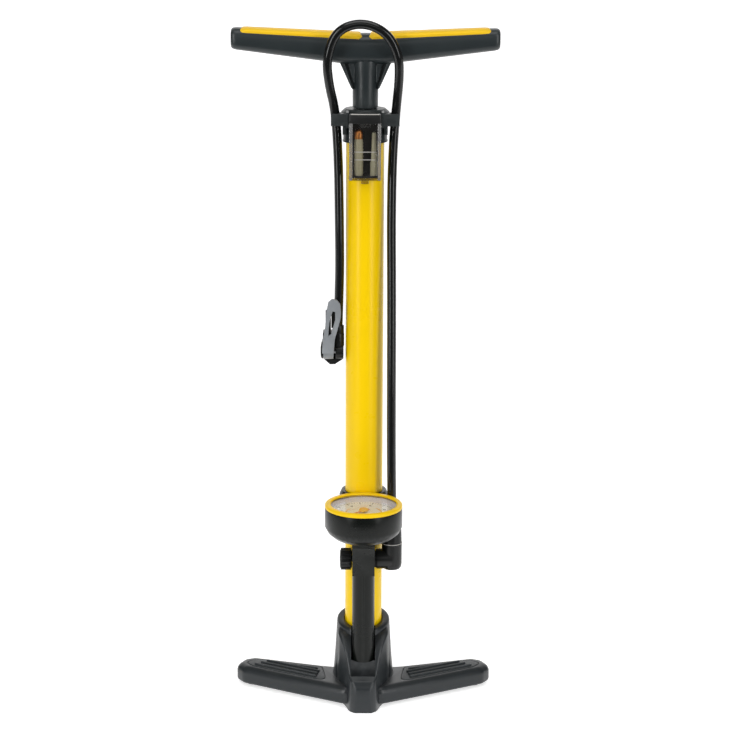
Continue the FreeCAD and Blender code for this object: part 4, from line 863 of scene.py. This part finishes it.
def make_adapter_box():
    """The swinging box: a clear trough with thicker sides, a dark lid, pale strips of painted highlight on the
    sides, the lid's edge and two lines across the front, and a latch tab.
    """
    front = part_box("adapter_cover")[0][1] / MM
    back = -22.9
    needle = (-5.6, -26.5)
    stands_for(bar("box_pane", (-11.4, front, 504.0), (11.4, front + 1.4, 554.4), 0.3), "adapter_cover")
    for side in (-1, 1):
        # painted highlight: the thick clear sides carry their light bands in their grey colour
        low, high = sorted((side * 11.2, side * 14.4))
        rides(bar("box_side", (low, front, 503.0), (high, front + 3.4, 555.0), 1.0), "adapter_cover",
              "painted_side_highlight")
        low, high = sorted((side * 13.0, side * 14.4))
        rides(bar("box_wall", (low, front + 1.5, 503.2), (high, back, 556.0), 0.4), "adapter_cover",
              "smoked_plastic")
    details = [("box_floor", (-13.6, front + 0.3, 503.0), (13.6, back, 504.5), 0.4, "side_amber"),
               ("box_lid", (-14.4, front, 554.0), (14.4, back, 562.4), 1.2, "lid_black"),
               # painted highlight: a pale strip along the lid's rounded top edge
               ("lid_edge_highlight", (-12.6, front + 0.6, 562.2), (12.6, front + 1.5, 563.0), 0.2, "painted_edge_highlight")]
    # painted highlight: two thin pale strips across the front of the box stand for lit edges
    for height in (522.0, 529.0):
        details.append(("box_edge_highlight", (-9.6, front - 0.3, height - 0.25), (9.6, front + 0.05, height + 0.25),
                        0.05, "painted_edge_highlight"))
    for across in (-6.0, 6.0):
        details.append(("box_stop", (across - 1.0, front - 0.3, 505.2), (across + 1.0, front + 0.1, 506.8),
                        0.12, "lid_black"))
    details.append(("box_tab", (-3.5, front, 500.0), (3.5, front + 3.0, 503.4), 0.7, "side_amber"))
    for name, low, high, ease, slot in details:
        rides(bar(name, low, high, ease), "adapter_cover", slot)
    tip = lathed("needle_tip", [(0.4, 540.0), (3.5, 540.0), (3.6, 541.2), (3.6, 545.0), (2.9, 547.2),
                                (1.4, 548.4), (0.4, 548.6)], 32, needle)
    rides(smooth(tip, 40.0), "needle_adapter", "copper_tip")
    bead = lathed("bead", [(2.0, -0.55), (4.05, -0.35), (4.05, 0.35), (2.0, 0.55)], 32)
    ribs = row_of(bead, "adapter_metal", 10, (needle[0] * MM, needle[1] * MM, 0.5095), (0, 0, 3.0 * MM))
    rides(smooth(ribs, 40.0), "needle_adapter", "adapter_metal")


def make_lever_detail():
    """The lever's hollow back, as black plates of painted shade seen through its slot, and the pressed panel
    at its foot.
    """
    # painted shade: black plates stand for the shaded hollow of the lever seen through its slot
    back = bar("lever_shade", (-36.0, -9.0, 352.0), (-31.0, -8.4, 379.0), 0.2)
    rides(back, "chuck_lever", "lid_black")
    edge = bar("lever_wall_shade", (-30.6, -9.2, 362.0), (-26.4, -8.4, 381.0), 0.2)
    rides(edge, "chuck_lever", "lid_black")
    panel = rounded_outline([(-38.2, 340.2, 0.8), (-28.4, 340.2, 0.8), (-27.6, 351.5, 0.8),
                             (-36.6, 351.5, 0.8)])
    plate = domed("lever_panel", panel, 0.0, 0.35, 0.3, 3)
    plate.data.transform(Matrix.Translation((0, -12.7 * MM, 0)) @ Matrix.Rotation(math.pi / 2, 4, "X"))
    rides(smooth(plate, 30.0), "chuck_lever", "lever_grey")


hose, hose_path = make_hose()
make_lever_detail()
make_elbow()
make_knob()
make_dial()
make_adapter_box()
make_handle()
make_grips()
make_base()
make_moulded()

for name, thing in NODES.items():
    paint(thing, SLOT[name])


# floor, light and camera -------------------------------------------------------------------------

FLOOR_GLOW = 0.62
WORLD_LIGHT = 0.12


def make_stage():
    """A pale floor that curves up into a back wall."""
    work = bmesh.new()
    profile = [(-0.5, 0.0), (1.6, 0.0), (2.1, 0.06), (2.45, 0.3), (2.6, 0.8), (2.65, 3.2)]
    rows = [[work.verts.new((across, deep, height)) for deep, height in profile] for across in (-3.0, 3.0)]
    for index in range(len(profile) - 1):
        work.faces.new((rows[0][index], rows[1][index], rows[1][index + 1], rows[0][index + 1]))
    bmesh.ops.recalc_face_normals(work, faces=work.faces)
    mesh = bpy.data.meshes.new("floor")
    work.to_mesh(mesh)
    work.free()
    floor = link("floor", mesh)
    material = bpy.data.materials.new("floor_paint")
    material.use_nodes = True
    shader = material.node_tree.nodes["Principled BSDF"]
    shader.inputs["Base Color"].default_value = (0.9, 0.9, 0.9, 1)
    shader.inputs["Roughness"].default_value = 0.9
    shader.inputs["Emission Color"].default_value = (1, 1, 1, 1)
    shader.inputs["Emission Strength"].default_value = FLOOR_GLOW
    mesh.materials.append(material)


def area_light(name, place, target, size, power):
    """A soft box at a place, turned to its target."""
    light = bpy.data.lights.new(name, "AREA")
    light.shape = "RECTANGLE"
    light.size = size[0]
    light.size_y = size[1]
    light.energy = power
    thing = bpy.data.objects.new(name, light)
    bpy.context.scene.collection.objects.link(thing)
    thing.location = place
    thing.rotation_euler = (Vector(target) - Vector(place)).to_track_quat("-Z", "Y").to_euler()


def make_lights():
    """Tall soft boxes left and right, one above, a weak fill in front, and a faint world."""
    middle = (0.0, 0.0, 0.32)
    area_light("left_softbox", (-1.25, -1.45, 0.85), middle, (0.42, 1.9), 18)
    area_light("right_softbox", (1.25, -1.35, 0.8), middle, (0.42, 1.9), 14)
    area_light("top_softbox", (0.0, -0.4, 2.0), middle, (1.5, 1.2), 12)
    area_light("front_fill", (0.0, -2.9, 1.5), middle, (1.2, 0.8), 3.5)
    world = bpy.data.worlds.new("studio")
    world.use_nodes = True
    world.node_tree.nodes["Background"].inputs["Color"].default_value = (1, 1, 1, 1)
    world.node_tree.nodes["Background"].inputs["Strength"].default_value = WORLD_LIGHT
    bpy.context.scene.world = world


def make_camera():
    """A long lens in front of the pump, tilted down onto it."""
    tilt = math.radians(13.7)
    away = 2.026
    aim = 0.3223
    camera = bpy.data.cameras.new("camera")
    camera.sensor_width = 36
    camera.lens = 106.3
    thing = bpy.data.objects.new("camera", camera)
    bpy.context.scene.collection.objects.link(thing)
    turn = Matrix.Rotation(math.pi / 2 - tilt, 4, "X") @ Matrix.Rotation(math.radians(0.25), 4, "Z")
    place = Matrix.Translation((0.003, -away * math.cos(tilt), aim + away * math.sin(tilt)))
    thing.matrix_world = place @ turn
    bpy.context.scene.camera = thing


make_stage()
make_lights()
make_camera()
bpy.context.scene.view_settings.view_transform = "Standard"
